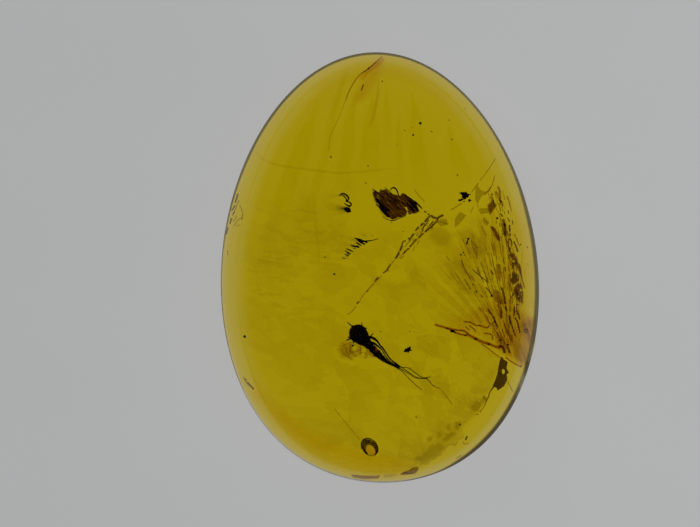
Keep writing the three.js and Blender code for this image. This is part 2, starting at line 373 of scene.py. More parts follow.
points = [Vector()] * ((RIM_SHADE_ROWS + 1) * AROUND)
values, tones = [0.0] * len(points), [0.0] * len(points)
for j in range(AROUND):
    turn = 2 * math.pi * j / AROUND
    outward = rim(turn)
    degrees = math.degrees(math.atan2(outward.y, outward.x)) % 360
    top = rim_shade_part(turn, outward.normalized(), along_edge(RIM_SHADE_WIDTHS, degrees))
    for i in range(RIM_SHADE_ROWS + 1):
        s = i / RIM_SHADE_ROWS
        share, height, shift = side_row(-RIM_SHADE_BELOW + (top + RIM_SHADE_BELOW) * s)
        flat = outward * share
        flat = flat * (1 + SKIN_OUTSET / flat.length) + shift
        at = i * AROUND + j
        points[at] = Vector((flat.x, flat.y, height))
        values[at] = RIM_SHADE_COVER * min((1 - s) * RIM_SHADE_FADE, 1) if top > LEAST_PART else 0.0
        tones[at] = along_edge(RIM_SHADE_TONES, degrees)
        if PATCHY[0] < degrees < PATCHY[1]:
            tones[at] = clamp(0.5 + 1.4 * noise.noise(Vector((j * 0.3, i * 0.1, 4))))
# The sheet of painted rim shade and light, just outside the edge of the dome.
rim_shade = mesh_piece("painted_rim_shade", points, band_faces(RIM_SHADE_ROWS + 1, AROUND), [rim_shade_material()], values)
rim_shade.data.attributes.new("tone", "FLOAT", "POINT").data.foreach_set("value", tones)


# The gnat. It is one dead insect lying on its side: a humped, black thorax with a small head bent
# under it, a ringed abdomen, thin legs, most of them drawn back past its tail, and crumpled brown
# wings. Stations are picture x and y, height above the seam and radius.
GNAT_BODY = [
    (351.4, 327.2, 0, 0.1), (352.9, 328.6, 0, 0.27), (355.6, 331.1, 0, 0.4), (358.7, 334.2, 0, 0.44),
    (362.8, 338.7, 0, 0.36), (367, 343.1, 0, 0.25), (372.2, 348.5, 0, 0.19), (377.3, 353.6, 0, 0.2),
    (380.8, 356.4, 0, 0.15), (384.3, 359.5, 0, 0.11), (388.6, 362.3, 0, 0.06), (394, 365.7, 0, 0.05),
    (399.8, 368.6, 0, 0.03),
]
GNAT_WAIST = 0.42
ABDOMEN_RINGS = 9
GNAT_HEAD = ((353.4, 336.6, 0.05), (0.2, 0.17, 0.22))
GNAT_EYES = [((352.0, 337.4, 0.16), (0.09, 0.1, 0.09)), ((352.0, 337.4, -0.08), (0.09, 0.1, 0.09))]
BROWN_SPOT = (377.2, 349.6)
BROWN_SPOT_RADIUS = 2.6
GNAT_LEGS = [
    [(368.6, 336.8, 0.18, 0.06), (373.4, 338.2, 0.3, 0.07), (377.3, 341.3, 0.3, 0.05),
      (380.2, 345.5, 0.24, 0.04), (383, 348.4, 0.2, 0.045), (386.4, 353.6, 0.2, 0.04),
      (389, 357.5, 0.16, 0.04), (392.8, 361.3, 0.14, 0.036), (399.2, 366.8, 0.12, 0.024),
      (407.6, 367.9, 0.1, 0.017), (414.6, 372.2, 0.12, 0.02), (422.6, 377.7, 0.15, 0.021),
      (430.6, 376.7, 0.18, 0.012)],
    [(394, 361.9, 0.14, 0.034), (400.2, 366.4, 0.12, 0.024), (406.4, 370.6, 0.1, 0.018),
      (413, 375.2, 0.1, 0.017), (419.6, 378.4, 0.12, 0.017), (428.4, 378.2, 0.14, 0.012)],
    [(369, 341.6, 0.05, 0.06), (374.2, 343.6, 0.12, 0.065), (378.2, 346.5, 0.1, 0.045),
      (382.4, 350.6, 0, 0.03), (388.2, 359.5, -0.04, 0.03), (400.3, 368.5, -0.06, 0.024),
      (409.3, 374, -0.03, 0.02), (416.4, 378.1, 0, 0.018), (426.9, 379.1, 0.02, 0.019),
      (432.8, 385.5, 0.04, 0.019), (440.4, 388.9, 0.06, 0.013)],
    [(369.8, 344.7, -0.15, 0.06), (373.7, 352.7, -0.27, 0.05), (379.6, 358.5, -0.26, 0.05),
      (385.5, 362.3, -0.2, 0.036), (399.5, 369.5, -0.14, 0.02), (409.3, 378.7, -0.1, 0.017),
      (416.4, 385.7, -0.08, 0.017), (421.8, 389.6, -0.06, 0.012)],
    [(358.1, 335.9, 0.25, 0.06), (351.8, 338, 0.34, 0.05), (347.8, 336.9, 0.28, 0.02)],
    [(358.1, 336.8, -0.1, 0.06), (350, 338.9, -0.22, 0.045), (345.4, 340.6, -0.22, 0.016)],
    [(361, 336.8, -0.2, 0.06), (354.7, 340.5, -0.33, 0.04), (353, 343.3, -0.26, 0.03)],
]
GNAT_FEELERS = [
    [(354.2, 328, 0.1, 0.035), (350.3, 324.6, 0.12, 0.032), (346.9, 322, 0.14, 0.016)],
    [(360.4, 328, 0.1, 0.03), (361.8, 324.8, 0.12, 0.026), (361.8, 322.2, 0.14, 0.014)],
]
GNAT_SPINE = [(370.2, 336.8, 0.2, 0.03), (371.6, 335.2, 0.22, 0.034), (373.3, 333.4, 0.24, 0.022)]
GNAT_DOT = ((352.9, 345.7), 0.05)
GNAT_HUMP, HUMP_RADIUS = (358.4, 333.4), 0.4
HUMP_HAIRS, TAIL_HAIRS = 80, 60
LEG_HAIR, HUMP_HAIR, TAIL_HAIR = (0.008, 0.006), (0.012, 0.008), (0.014, 0.009)
HAIR_TIP = 0.003
LEAST_RADIUS = 0.002
WINGS = [
    (-0.12, [(364, 338.8), (354, 340.5), (341, 340.5), (336, 349), (340, 358.6), (353, 361.6),
      (365.9, 350.1)]),
    (0.06, [(365.9, 343.7), (357.2, 346.6), (353.2, 357.5), (362.9, 359), (377, 359), (374.7, 352.5)]),
]
WING_HOLES = [
    (354.4, 348, 2.2), (363.6, 350.6, 1.8), (361.8, 346.4, 1), (355.4, 341.4, 1), (363, 354.6, 1.3),
]
WING_VEINS = [
    ([(349.6, 341.6), (351, 345.6), (350.2, 350.4), (351.2, 353.6)], 2.6),
    ([(359.6, 343.6), (360.6, 348.6), (360.2, 354.6)], 1.7),
    ([(352.6, 351), (354, 355.8), (357, 355)], 1.5),
    ([(366.8, 349.2), (370.6, 353.8), (374.6, 356.4)], 2.6),
    ([(355.4, 351.8), (358, 350.4), (359.8, 351)], 1.3),
    ([(345.4, 347.2), (347.4, 353.6), (350.6, 358.2)], 1.4),
    ([(343.4, 346), (347, 343.4), (350.6, 342.4)], 1.2),
    ([(356, 344.2), (352, 345.6), (350.4, 348.4)], 1.2),
    ([(365.4, 352.2), (366.8, 356.2), (364.2, 358.6)], 1.2),
    ([(343, 353), (347.4, 357), (352.8, 359.4)], 1.2),
]
CUTICLE_BLACK = (0.0035, 0.0025, 0.002, 1)
CUTICLE_BROWN = (0.016, 0.007, 0.003, 1)
CUTICLE_GAPS = (0.45, 0.27, 0.1, 1)
WING_TINT = (0.6, 0.48, 0.28, 1)
random.seed(11)


def smooth_path(stations, steps):
    """Even steps on a curve through stations; every number of a station is carried along."""
    ends = [stations[0]] + list(stations) + [stations[-1]]
    path = []
    for step in range(steps + 1):
        at = step / steps * (len(stations) - 1)
        i = min(int(at), len(stations) - 2)
        t = at - i
        a, b, c, d = ends[i:i + 4]
        path.append([
            0.5 * (2 * q + (r - p) * t + (2 * p - 5 * q + 4 * r - s) * t ** 2
                   + (3 * q - p - 3 * r + s) * t ** 3)
            for p, q, r, s in zip(a, b, c, d)
        ])
    return path


def sideways(line, steps):
    """Steps on a smooth line of picture points: x, y, the way across, and how far along it is."""
    path = smooth_path(line, steps)
    for i, (x, y) in enumerate(path):
        nx, ny = path[min(i + 1, len(path) - 1)]
        ox, oy = path[max(i - 1, 0)]
        yield x, y, Vector((oy - ny, nx - ox)).normalized(), i / (len(path) - 1)


def rings(start, count, depth):
    """Swellings along a rod, one for each ring of the abdomen or joint of a leg."""
    def swell(along):
        if along < start:
            return 1
        part = (along - start) / (1 - start) * count % 1
        return 1 - depth * (1 - math.sin(math.pi * part) ** 0.5)
    return swell


def in_outline(x, y, outline):
    """True inside a closed outline of picture points."""
    inside = False
    for (ax, ay), (bx, by) in zip(outline, outline[1:] + outline[:1]):
        if (ay > y) != (by > y) and x < (bx - ax) * (y - ay) / (by - ay) + ax:
            inside = not inside
    return inside


def edge_distance(x, y, outline):
    """How far a picture point is from a closed outline."""
    nearest = 1e9
    for (ax, ay), (bx, by) in zip(outline, outline[1:] + outline[:1]):
        dx, dy = bx - ax, by - ay
        t = clamp(((x - ax) * dx + (y - ay) * dy) / (dx * dx + dy * dy))
        nearest = min(nearest, math.hypot(x - ax - t * dx, y - ay - t * dy))
    return nearest


def open_share(x, y, holes, least):
    """0 in a hole through a film and 1 away from it; holes are picture x, y and size."""
    return min([1.0] + [max(math.hypot(x - hx, y - hy) / size - least, 0) for hx, hy, size in holes])


class Heap:
    """Points and faces of one piece, gathered from its parts."""

    def __init__(self):
        self.points, self.faces, self.cover, self.picks = [], [], [], []

    def add(self, points, faces, pick=0, cover=None):
        start = len(self.points)
        self.points += points
        self.cover += cover if cover else [1.0] * len(points)
        self.faces += [tuple(start + v for v in face) for face in faces]
        self.picks += [pick] * len(faces)

    def rod(self, path, sides, swell=None, flatness=1.0, worn=None):
        """A closed rod on a path of x, y, z and radius; flatness squeezes it up and down."""
        centres = [Vector(p[:3]) for p in path]
        points, faces, cover = [], [], []
        side = Vector((0, 0, 1))
        for i, centre in enumerate(centres):
            ahead = (centres[min(i + 1, len(path) - 1)] - centres[max(i - 1, 0)]).normalized()
            side = (side - ahead * side.dot(ahead)).normalized()
            other = ahead.cross(side)
            radius = max(path[i][3], LEAST_RADIUS) * (swell(i / (len(path) - 1)) if swell else 1)
            for j in range(sides):
                turn = 2 * math.pi * j / sides
                spot = centre + side * math.cos(turn) * radius * flatness + other * math.sin(turn) * radius
                points.append(spot)
                cover.append(worn(spot) if worn else 1.0)
        for i in range(len(path) - 1):
            for j in range(sides):
                a, b = i * sides + j, i * sides + (j + 1) % sides
                faces.append((a, b, b + sides, a + sides))
        faces.append(tuple(reversed(range(sides))))
        faces.append(tuple(range(len(points) - sides, len(points))))
        self.add(points, faces, 0, cover)

    def hair(self, root, tip, thick):
        """A hair that thins out towards its tip; thick is its radius at the root and halfway."""
        self.rod([[*root, thick[0]], [*root.lerp(tip, 0.5), thick[1]], [*tip, HAIR_TIP]], 5)

    def grid(self, spots, columns, pick, cover):
        """An open sheet from rows of points."""
        faces = []
        for i in range(len(spots) // columns - 1):
            for j in range(columns - 1):
                a = i * columns + j
                faces.append((a, a + 1, a + columns + 1, a + columns))
        self.add(spots, faces, pick, cover)

    def line(self, line, width, height, pick=0, strength=1.0):
        """A film along a line of picture points, fullest along its middle and pointed at its ends."""
        spots, cover = [], []
        for x, y, over, t in sideways(line, max(len(line) * 8, 16)):
            reach = width * min(math.sin(math.pi * t) * 2.5 + 0.35, 1)
            for s in (-1, -0.5, 0, 0.5, 1):
                spots.append(place(x + over.x * s * reach, y + over.y * s * reach, height))
                cover.append(strength * (1 - abs(s)))
        self.grid(spots, 5, pick, cover)

    def sheet(self, outline, step, height, cover, pick=0, margin=1.4):
        """A film over an outline of picture points. Its height is one value or is worked out at each
        point, as its cover is."""
        xs, ys = [p[0] for p in outline], [p[1] for p in outline]
        low_x, low_y = min(xs) - margin, min(ys) - margin
        spots, values, index, faces = [], [], {}, []
        for j in range(int((max(ys) - low_y + margin) / step) + 2):
            for i in range(int((max(xs) - low_x + margin) / step) + 2):
                x, y = low_x + i * step, low_y + j * step
                inside, distance = in_outline(x, y, outline), edge_distance(x, y, outline)
                if inside or distance < margin + step:
                    index[i, j] = len(spots)
                    spots.append(place(x, y, height(x, y) if callable(height) else height))
                    values.append(cover(x, y, distance if inside else -distance))
        for (i, j), a in index.items():
            corners = [a, index.get((i, j + 1)), index.get((i + 1, j + 1)), index.get((i + 1, j))]
            if None not in corners and max(values[v] for v in corners) > 0:
                faces.append(tuple(corners))
        self.add(spots, faces, pick, values)

    def flake(self, outline, step, height, pick=0, slope=0.0, torn=2.4):
        """A film whose cover runs through a half on the outline; torn is how wide its ragged edge is."""
        middle = sum(p[0] for p in outline) / len(outline)
        self.sheet(
            outline, step, lambda x, y: height + slope * (x - middle) * PER_PIXEL,
            lambda x, y, inside: clamp(0.5 + inside / torn), pick, 1 + torn / 2,
        )

    def piece(self, name, materials):
        return mesh_piece(name, self.points, self.faces, materials, self.cover, self.picks)


def placed(stations, steps):
    """Picture stations, with heights above the seam, as an even path in the stone."""
    spots = [[*place(px, py, SEAM + lift), radius] for px, py, lift, radius in stations]
    return smooth_path(spots, steps)


def crumb_material(name, dark, light, scale, coarse=0.6):
    """A dull opaque skin or crumb, with a grained surface."""
    add, show = shader(name)
    grain = add("TexNoise", {"Scale": scale, "Detail": 5.0, "Roughness": 0.7})
    skin = add("BsdfPrincipled", {
        "Base Color": colours(add, grain, [(0.45, dark), (0.75, light)]),
        "Roughness": add("MapRange", {"Value": grain, "To Min": 0.4, "To Max": 0.85}),
        "Specular IOR Level": 0.3,
        "Normal": add("Bump", {"Strength": coarse, "Distance": 0.00003, "Height": grain}),
    })
    return show(mixed(add, covered(add), skin, CUTICLE_GAPS))


def along_run(add, turn, scale):
    """Coordinates that are stretched along a run in the plane of the stone."""
    return add("Mapping", {
        "Vector": add("TexCoord").outputs["Object"],
        "Rotation": (0, 0, turn),
        "Scale": scale,
    }, vector_type="TEXTURE")


def haze_material(name, tint, scale, least, run=(0, 1, 1)):
    """Fine dust or a thin film: it only dims what is behind it, in clouds or along a run."""
    add, show = shader(name)
    turn, length, width = run
    spread = along_run(add, turn, (length, width, width))
    cloud = add("TexNoise", {"Vector": spread, "Scale": scale, "Detail": 4.0, "Roughness": 0.6})
    soft = add("MapRange", {"Value": cloud, "From Min": 0.36, "From Max": 0.64, "To Min": least})
    cover = add("Math", {0: soft, 1: covered(add)}, operation="MULTIPLY")
    return show(mixed(add, cover, add("BsdfTransparent", {"Color": tint})))


def torn_cover(add, pattern, ragged, low, high):
    """The cover of the mesh with its edge torn by a pattern that runs about a half."""
    centred = add("Math", {0: pattern, 1: 0.5}, operation="SUBTRACT")
    torn = add("Math", {0: centred, 1: ragged}, operation="MULTIPLY")
    reach = add("Math", {0: covered(add), 1: torn}, operation="ADD")
    return add("MapRange", {"Value": reach, "From Min": low, "From Max": high})


def stain_material(name, thick, thin, scale, ragged):
    """A stain with a torn edge: see-through, darkest where it is thick."""
    add, show = shader(name)
    tears = add("TexNoise", {"Scale": scale, "Detail": 4.0, "Roughness": 0.6})
    depth = add("TexNoise", {"Scale": scale * 0.55, "Detail": 3.0, "Roughness": 0.6})
    stain = add("BsdfTransparent", {"Color": colours(add, depth, [(0.42, thick), (0.66, thin)])})
    return show(mixed(add, torn_cover(add, tears, ragged, 0.36, 0.56), stain))


brown_spot = place(*BROWN_SPOT, SEAM)


def brown_window(spot):
    """The abdomen lets a little brown light through on its upper side."""
    away = (spot - brown_spot).xy.length / PER_PIXEL
    return clamp(away / BROWN_SPOT_RADIUS - 0.35, 0.12)


def wing_cover(x, y, inside):
    smoky = 0.75 + 0.5 * clamp((356 - x) / 12)
    return min(max(inside / 6.5 + 0.05, 0) * smoky, 1) * open_share(x, y, WING_HOLES, 0.6)


gnat = Heap()
gnat.rod(placed(GNAT_BODY, 130), 32, rings(GNAT_WAIST, ABDOMEN_RINGS, 0.24), worn=brown_window)
for (px, py, lift), size in [GNAT_HEAD] + GNAT_EYES:
    centre = place(px, py, SEAM + lift)
    points, faces = ball(size, 24, 16)
    gnat.add([p + centre for p in points], faces)
points, faces = ball([GNAT_DOT[1]] * 3, 16, 10)
gnat.add([p + place(*GNAT_DOT[0], SEAM) for p in points], faces)
for leg in GNAT_LEGS:
    path = placed(leg, len(leg) * 9)
    gnat.rod(path, 10, rings(0.3, 11, 0.34))
    for i in range(6, len(path) - 3, 3):
        root = Vector(path[i][:3])
        lean = Vector((random.uniform(-1, 1), random.uniform(-1, 1), random.uniform(-0.6, 0.6))).normalized()
        tip = root + lean * random.uniform(0.04, 0.08) + (Vector(path[i + 3][:3]) - root) * 0.6
        gnat.hair(root, tip, LEG_HAIR)
for feeler in GNAT_FEELERS + [GNAT_SPINE]:
    gnat.rod(placed(feeler, 36), 10, rings(0.0, 12, 0.3))
hump = place(*GNAT_HUMP, SEAM)
for _ in range(HUMP_HAIRS):
    lean = Vector((random.uniform(-0.9, 0.7), random.uniform(-0.2, 1), random.uniform(-1, 1))).normalized()
    tip = hump + (lean + Vector((0.25, -0.1, 0))).normalized() * random.uniform(0.46, 0.54)
    gnat.hair(hump + lean * HUMP_RADIUS, tip, HUMP_HAIR)
body = placed(GNAT_BODY, 100)
for _ in range(TAIL_HAIRS):
    spot = body[int(random.uniform(0.5, 0.78) * 100)]
    lean = Vector((random.uniform(-1, 1), random.uniform(-1, 1), random.uniform(-1, 1))).normalized()
    root = Vector(spot[:3]) + lean * spot[3] * 0.8
    gnat.hair(root, root + lean * 0.07 + Vector((0.03, -0.03, 0)), TAIL_HAIR)
for lift, outline in WINGS:
    def wing_height(x, y):
        return SEAM + lift + 0.12 * noise.noise(Vector((x * 0.25, y * 0.25, lift * 9)))

    gnat.sheet(outline, 0.5, wing_height, wing_cover, 1)
for vein, width in WING_VEINS:
    gnat.line(vein, width, SEAM + 0.1, 2)
gnat_piece = gnat.piece("gnat", [
    crumb_material("black insect cuticle", CUTICLE_BLACK, CUTICLE_BROWN, 9000.0, 0.4),
    haze_material("crumpled brown wing", WING_TINT, 9000.0, 0.75),
    stain_material("brown wing vein", (0.62, 0.46, 0.22, 1), (0.9, 0.82, 0.6, 1), 11000.0, 1.8),
])
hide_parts("insect")


# The plant fragment. It is a scrap of rotten wood or bark, a flat bundle of dark red-brown fibres
# that run down to the right. Its upper left end is frayed into loose strands, a loop of one stands
# up at the top, and a split runs in from below near its dark right tip.
SCRAP_OUTLINE = [
    (372, 192.5), (374, 190), (378.5, 191.5), (380.4, 190), (382.8, 189.2), (386.4, 189.4), (389.6, 192.6),
    (392.6, 194), (398, 195.4), (400.6, 195.8), (402.2, 193.4), (405.4, 194.6), (410.7, 198), (414.6, 201),
    (417, 204.4), (416.8, 206.2), (418.8, 210.4), (419.7, 211.8), (414, 213.2), (408.9, 214.6),
    (406.6, 206.8), (405.4, 207), (407.2, 214.4), (403.6, 216), (398, 217.6), (392.6, 219.4), (388.4, 219),
    (384.8, 217.2), (380.4, 211.8), (376, 205), (373.4, 198.4),
]
SCRAP_MIDDLE = Vector((394.0, 203.0))
SCRAP_RUN = math.radians(-43)
SCRAP_THICKNESS = 0.14
SCRAP_STRANDS, SCRAP_BREADTH, SHORTEST_STRAND = 46, 38, 3
SCRAP_EXTRA = [
    [(371.8, 188.9, 0, 0.014), (375.4, 191, 0, 0.034), (379.4, 194.4, 0, 0.03), (384, 198.6, 0, 0.014)],
    [(373.4, 196.4, 0, 0.016), (377, 201, 0, 0.034), (382.4, 205.6, 0, 0.04), (388, 210.6, 0, 0.03)],
    [(390.6, 191, 0.05, 0.014), (391.2, 188.6, 0.06, 0.028), (393.8, 187.7, 0.06, 0.04),
      (396.6, 189.8, 0.06, 0.036), (397.8, 193.2, 0.03, 0.032), (399, 196.4, 0, 0.02)],
    [(415.4, 201.6, 0, 0.03), (417.8, 204.4, 0, 0.038), (420, 206.6, 0, 0.038), (422, 208.9, 0, 0.02)],
    [(402.4, 193, 0, 0.02), (407, 196.4, 0, 0.034), (412, 199.8, 0, 0.036), (416.4, 204, 0, 0.03)],
    [(378, 205.2, 0, 0.014), (381.4, 210, 0, 0.03), (386, 214.8, 0, 0.044), (390.6, 217.8, 0, 0.02)],
    [(382.4, 216.4, 0, 0.012), (386.4, 219, 0, 0.02), (392.8, 220.6, 0, 0.024), (400.6, 217.8, 0, 0.018),
      (406, 215.8, 0, 0.016)],
    [(380, 188.8, 0, 0.014), (383.6, 191.6, 0, 0.026), (388, 195, 0, 0.03)],
    [(384.6, 187.4, 0, 0.012), (387.4, 189.8, 0, 0.024), (392.4, 194.4, 0, 0.03)],
    [(408.4, 199.6, 0, 0.03), (413.4, 204.6, 0, 0.1), (418.4, 210.8, 0, 0.04)],
    [(407, 203, 0, 0.02), (412, 208.4, 0, 0.07), (415, 211.8, 0, 0.03)],
    [(376.8, 199, 0, 0.03), (380.6, 205.4, 0, 0.07), (385.4, 212.4, 0, 0.07), (390, 216.4, 0, 0.03)],
]
FIBRE_DARK = (0.006, 0.0018, 0.001, 1)
FIBRE_BROWN = (0.045, 0.015, 0.005, 1)
random.seed(5)


def bark_material():
    """Thin bark that the light shines through, red-brown in streaks along its fibres."""
    add, show = shader("thin red-brown bark")
    run = along_run(add, SCRAP_RUN, (0.0005, 0.00012, 0.0004))
    streaks = add("TexNoise", {"Vector": run, "Scale": 1.0, "Detail": 4.0, "Roughness": 0.65})
    colour = colours(add, streaks, [
        (0.36, (0.035, 0.012, 0.006, 1)),
        (0.52, (0.13, 0.055, 0.018, 1)),
        (0.68, (0.42, 0.27, 0.08, 1)),
    ])
    glow = add("BsdfTransparent", {"Color": colour})
    return show(mixed(add, torn_cover(add, streaks, -2.2, 0.3, 0.6), glow))


def strand_span(outline, run, across):
    """Where a line along the run, at a distance across it, enters and leaves an outline."""
    along = Vector((math.cos(run), -math.sin(run)))
    over = Vector((-along.y, along.x))
    cuts = []
    for a, b in zip(outline, outline[1:] + outline[:1]):
        p, q = Vector(a) - SCRAP_MIDDLE, Vector(b) - SCRAP_MIDDLE
        ps, qs = p.dot(over) - across, q.dot(over) - across
        if (ps > 0) != (qs > 0):
            cuts.append(p.lerp(q, ps / (ps - qs)).dot(along))
    return (min(cuts), max(cuts), along, over) if len(cuts) > 1 else None


def scrap_cover(x, y, inside):
    """Thick in the middle and right; frayed at the upper left, thin along the lower left."""
    frayed = clamp(((x - 372) + (y - 190) * 0.25) / 22)
    low_left = clamp(0.5 + ((x - 386) * 0.66 - (y - 211) * 0.75) / 7)
    return clamp(0.5 + inside / 2.4) * (0.38 + 0.72 * frayed) * (0.55 + 0.45 * low_left)


def scrap_height(x, y):
    return SEAM + 0.05 * noise.noise(Vector((x * 0.2, y * 0.2, 1)))


scrap = Heap()
scrap.sheet(SCRAP_OUTLINE, 0.5, scrap_height, scrap_cover, 1)
for i in range(SCRAP_STRANDS):
    across = -SCRAP_BREADTH / 2 + SCRAP_BREADTH * (i + random.uniform(-0.4, 0.4)) / SCRAP_STRANDS
    span = strand_span(SCRAP_OUTLINE, SCRAP_RUN + random.uniform(-0.05, 0.05), across)
    if not span:
        continue
    low, high, along, over = span
    reach = high - low
    low += random.uniform(-1.4, 0.45 * reach)
    high -= random.uniform(0, 0.45) * reach
    if high - low < SHORTEST_STRAND:
        continue
    lift = random.uniform(-0.5, 0.5) * SCRAP_THICKNESS
    thick = random.uniform(0.005, 0.013)
    bow = random.uniform(-0.9, 0.9)
    stations = []
    for k in range(6):
        t = k / 5
        spot = SCRAP_MIDDLE + along * (low + (high - low) * t)
        spot += over * (across + bow * math.sin(math.pi * t))
        radius = thick * (0.4 + math.sin(math.pi * t))
        stations.append((spot.x, spot.y, lift + random.uniform(-0.02, 0.02), radius))
    scrap.rod(placed(stations, 24), 6, flatness=0.6)
for strand in SCRAP_EXTRA:
    scrap.rod(placed(strand, 30), 8, rings(0.0, 9, 0.2), 0.6)
scrap_piece = scrap.piece("plant_scrap", [
    crumb_material("dark plant fibre", FIBRE_DARK, FIBRE_BROWN, 7000.0),
    bark_material(),
])
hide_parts("plant_fragment")


# The curled thread. It is a thin dark shaving that winds down to a black drop of resin or dirt,
# with a smoky trail of fine dust drawn off to the left of the drop.
CURL_TURNS = [
    (339.4, 195.9, 0.05, 0.032), (342, 193.6, 0.08, 0.042), (345.6, 194.6, 0.1, 0.046),
    (348.4, 197.4, 0.08, 0.044), (348.2, 199.8, 0.05, 0.038), (346.2, 201.2, 0.03, 0.036),
    (349, 202, 0.02, 0.038), (351, 203.8, 0, 0.04), (350.6, 205.8, 0, 0.04), (347.4, 205.4, 0, 0.042),
    (344.2, 203.2, 0, 0.022),
]
CURL_INNER = [
    (341.8, 194.6, 0.1, 0.024), (344, 196.4, 0.1, 0.03), (346.4, 199, 0.06, 0.028),
    (346, 200.6, 0.05, 0.02),
]
CURL_LINK = [(349.8, 205.6, 0.0, 0.03), (349.0, 207.4, 0.0, 0.04)]
DROP_PARTS = [
    ((347.4, 209.5), (0.165, 0.11, 0.1)), ((348.9, 210.6), (0.1, 0.11, 0.09)),
    ((345.2, 208.6), (0.1, 0.06, 0.06)),
]
CURL_SMOKE = [
    ((349, 209.4), (323, 206), 6.4, 1.0, 0.0), ((348, 209.4), (334, 207.4), 4.6, 0.9, -0.05),
    ((346, 208.6), (336, 206.6), 3.2, 0.8, 0.05), ((343, 195), (324, 197), 3.2, 0.5, 0.0),
    ((348, 211.4), (330, 214.6), 3.4, 0.55, 0.0),
]
DEAD_BLACK = (0.003, 0.002, 0.0015, 1)


def lumps(heap, parts, lumpiness):
    """Rounded crumbs, each dented by noise."""
    for (px, py), size in parts:
        centre = place(px, py, SEAM)
        points, faces = ball(size, 22, 14)
        for p in points:
            p *= 1 + lumpiness * noise.noise(p * 14 + centre * 5)
        heap.add([p + centre for p in points], faces)


def smoke(heap, start, end, width, strength, lift=0.0):
    """A soft streak of dust on a line between two picture points, strongest at its start."""
    a, b = Vector(start), Vector(end)
    over = Vector((-(b - a).y, (b - a).x)).normalized()
    rows, columns = 24, 17
    spots, values = [], []
    for i in range(rows + 1):
        t = i / rows
        for j in range(columns):
            s = 2 * j / (columns - 1) - 1
            spot = a.lerp(b, t) + over * s * width * (0.5 + 0.5 * t)
            spots.append(place(spot.x, spot.y, SEAM + lift))
            values.append(strength * (1 - s * s) ** 1.5 * (1 - t) ** 1.2 * min(t * 8 + 0.3, 1))
    heap.grid(spots, columns, 1, values)


curl = Heap()
curl.rod(placed(CURL_TURNS, 90), 10, rings(0.0, 22, 0.3))
curl.rod(placed(CURL_INNER, 20), 8)
curl.rod(placed(CURL_LINK, 8), 8)
lumps(curl, DROP_PARTS, 0.5)
for streak in CURL_SMOKE:
    smoke(curl, *streak)
curl_piece = curl.piece("curled_thread_fine", [
    crumb_material("olive brown shaving", (0.02, 0.015, 0.004, 1), (0.14, 0.11, 0.03, 1), 8000.0),
    haze_material("smoky trail", (0.36, 0.33, 0.22, 1), 1.0, 0.55, (math.radians(-8), 0.0012, 0.00016)),
])
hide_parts("curled_thread")


# The frayed tuft. It is a scrap of feather or torn fibre: a bent midrib with a comb of short dark
# barbs down its left side, and smoky streaks in the amber beside them.
TUFT_MIDRIB = [
    (378.4, 238.7, 0, 0.016), (372.4, 240.3, 0, 0.022), (366, 241.2, 0, 0.042), (362.8, 241.2, 0, 0.06),
    (358.8, 239.6, 0, 0.056), (354.6, 237.9, 0, 0.012),
]
TUFT_BARBS = [
    ((356.3, 238.8), (364.9, 244.6), 0.05), ((358.8, 238.6), (367.4, 242.8), 0.04),
    ((355.6, 241.7), (361.4, 245.6), 0.038), ((350.2, 244.9), (359, 247.4), 0.042),
    ((356.4, 245.4), (359.6, 247.2), 0.034), ((352.4, 247.6), (355.8, 248.8), 0.018),
    ((345.6, 248), (353.8, 251.8), 0.03), ((344.6, 250.4), (350.8, 254), 0.03),
    ((344.4, 253.7), (349, 256), 0.03), ((347, 252.8), (349.6, 255), 0.024),
    ((342, 257.5), (346, 258.9), 0.02), ((350.6, 245), (354, 245.6), 0.024),
]
TUFT_SMOKE = [
    ((361, 240.6), (338, 236.4), 4.6, 0.85), ((358, 246.4), (332, 242.4), 4.4, 0.7),
    ((352, 252), (328, 249), 4.6, 0.65), ((349, 257), (332, 260), 4, 0.6),
    ((367, 236.8), (358, 231.6), 3.6, 0.6), ((374, 236.6), (366, 231.6), 3, 0.4),
    ((344, 238), (324, 230), 8, 0.55), ((346, 226), (326, 222), 8, 0.3),
]
tuft = Heap()
tuft.rod(placed(TUFT_MIDRIB, 50), 8, rings(0.0, 16, 0.3))
for (ax, ay), (bx, by), thick in TUFT_BARBS:
    stations = [
        (ax, ay, 0.03, thick * 0.3),
        (ax * 0.6 + bx * 0.4, ay * 0.6 + by * 0.4 + 0.25, 0.02, thick * 1.15),
        (bx, by, 0.0, thick * 0.7),
    ]
    tuft.rod(placed(stations, 16), 8, rings(0.0, 4, 0.25), 0.6)
for streak in TUFT_SMOKE:
    smoke(tuft, *streak)
tuft_piece = tuft.piece("frayed_tuft_fine", [
    crumb_material("dark barbs", DEAD_BLACK, (0.05, 0.035, 0.01, 1), 8000.0),
    haze_material("dusty amber", (0.45, 0.42, 0.32, 1), 1.0, 0.35, (math.radians(-12), 0.0014, 0.00014)),
])
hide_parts("frayed_tuft")


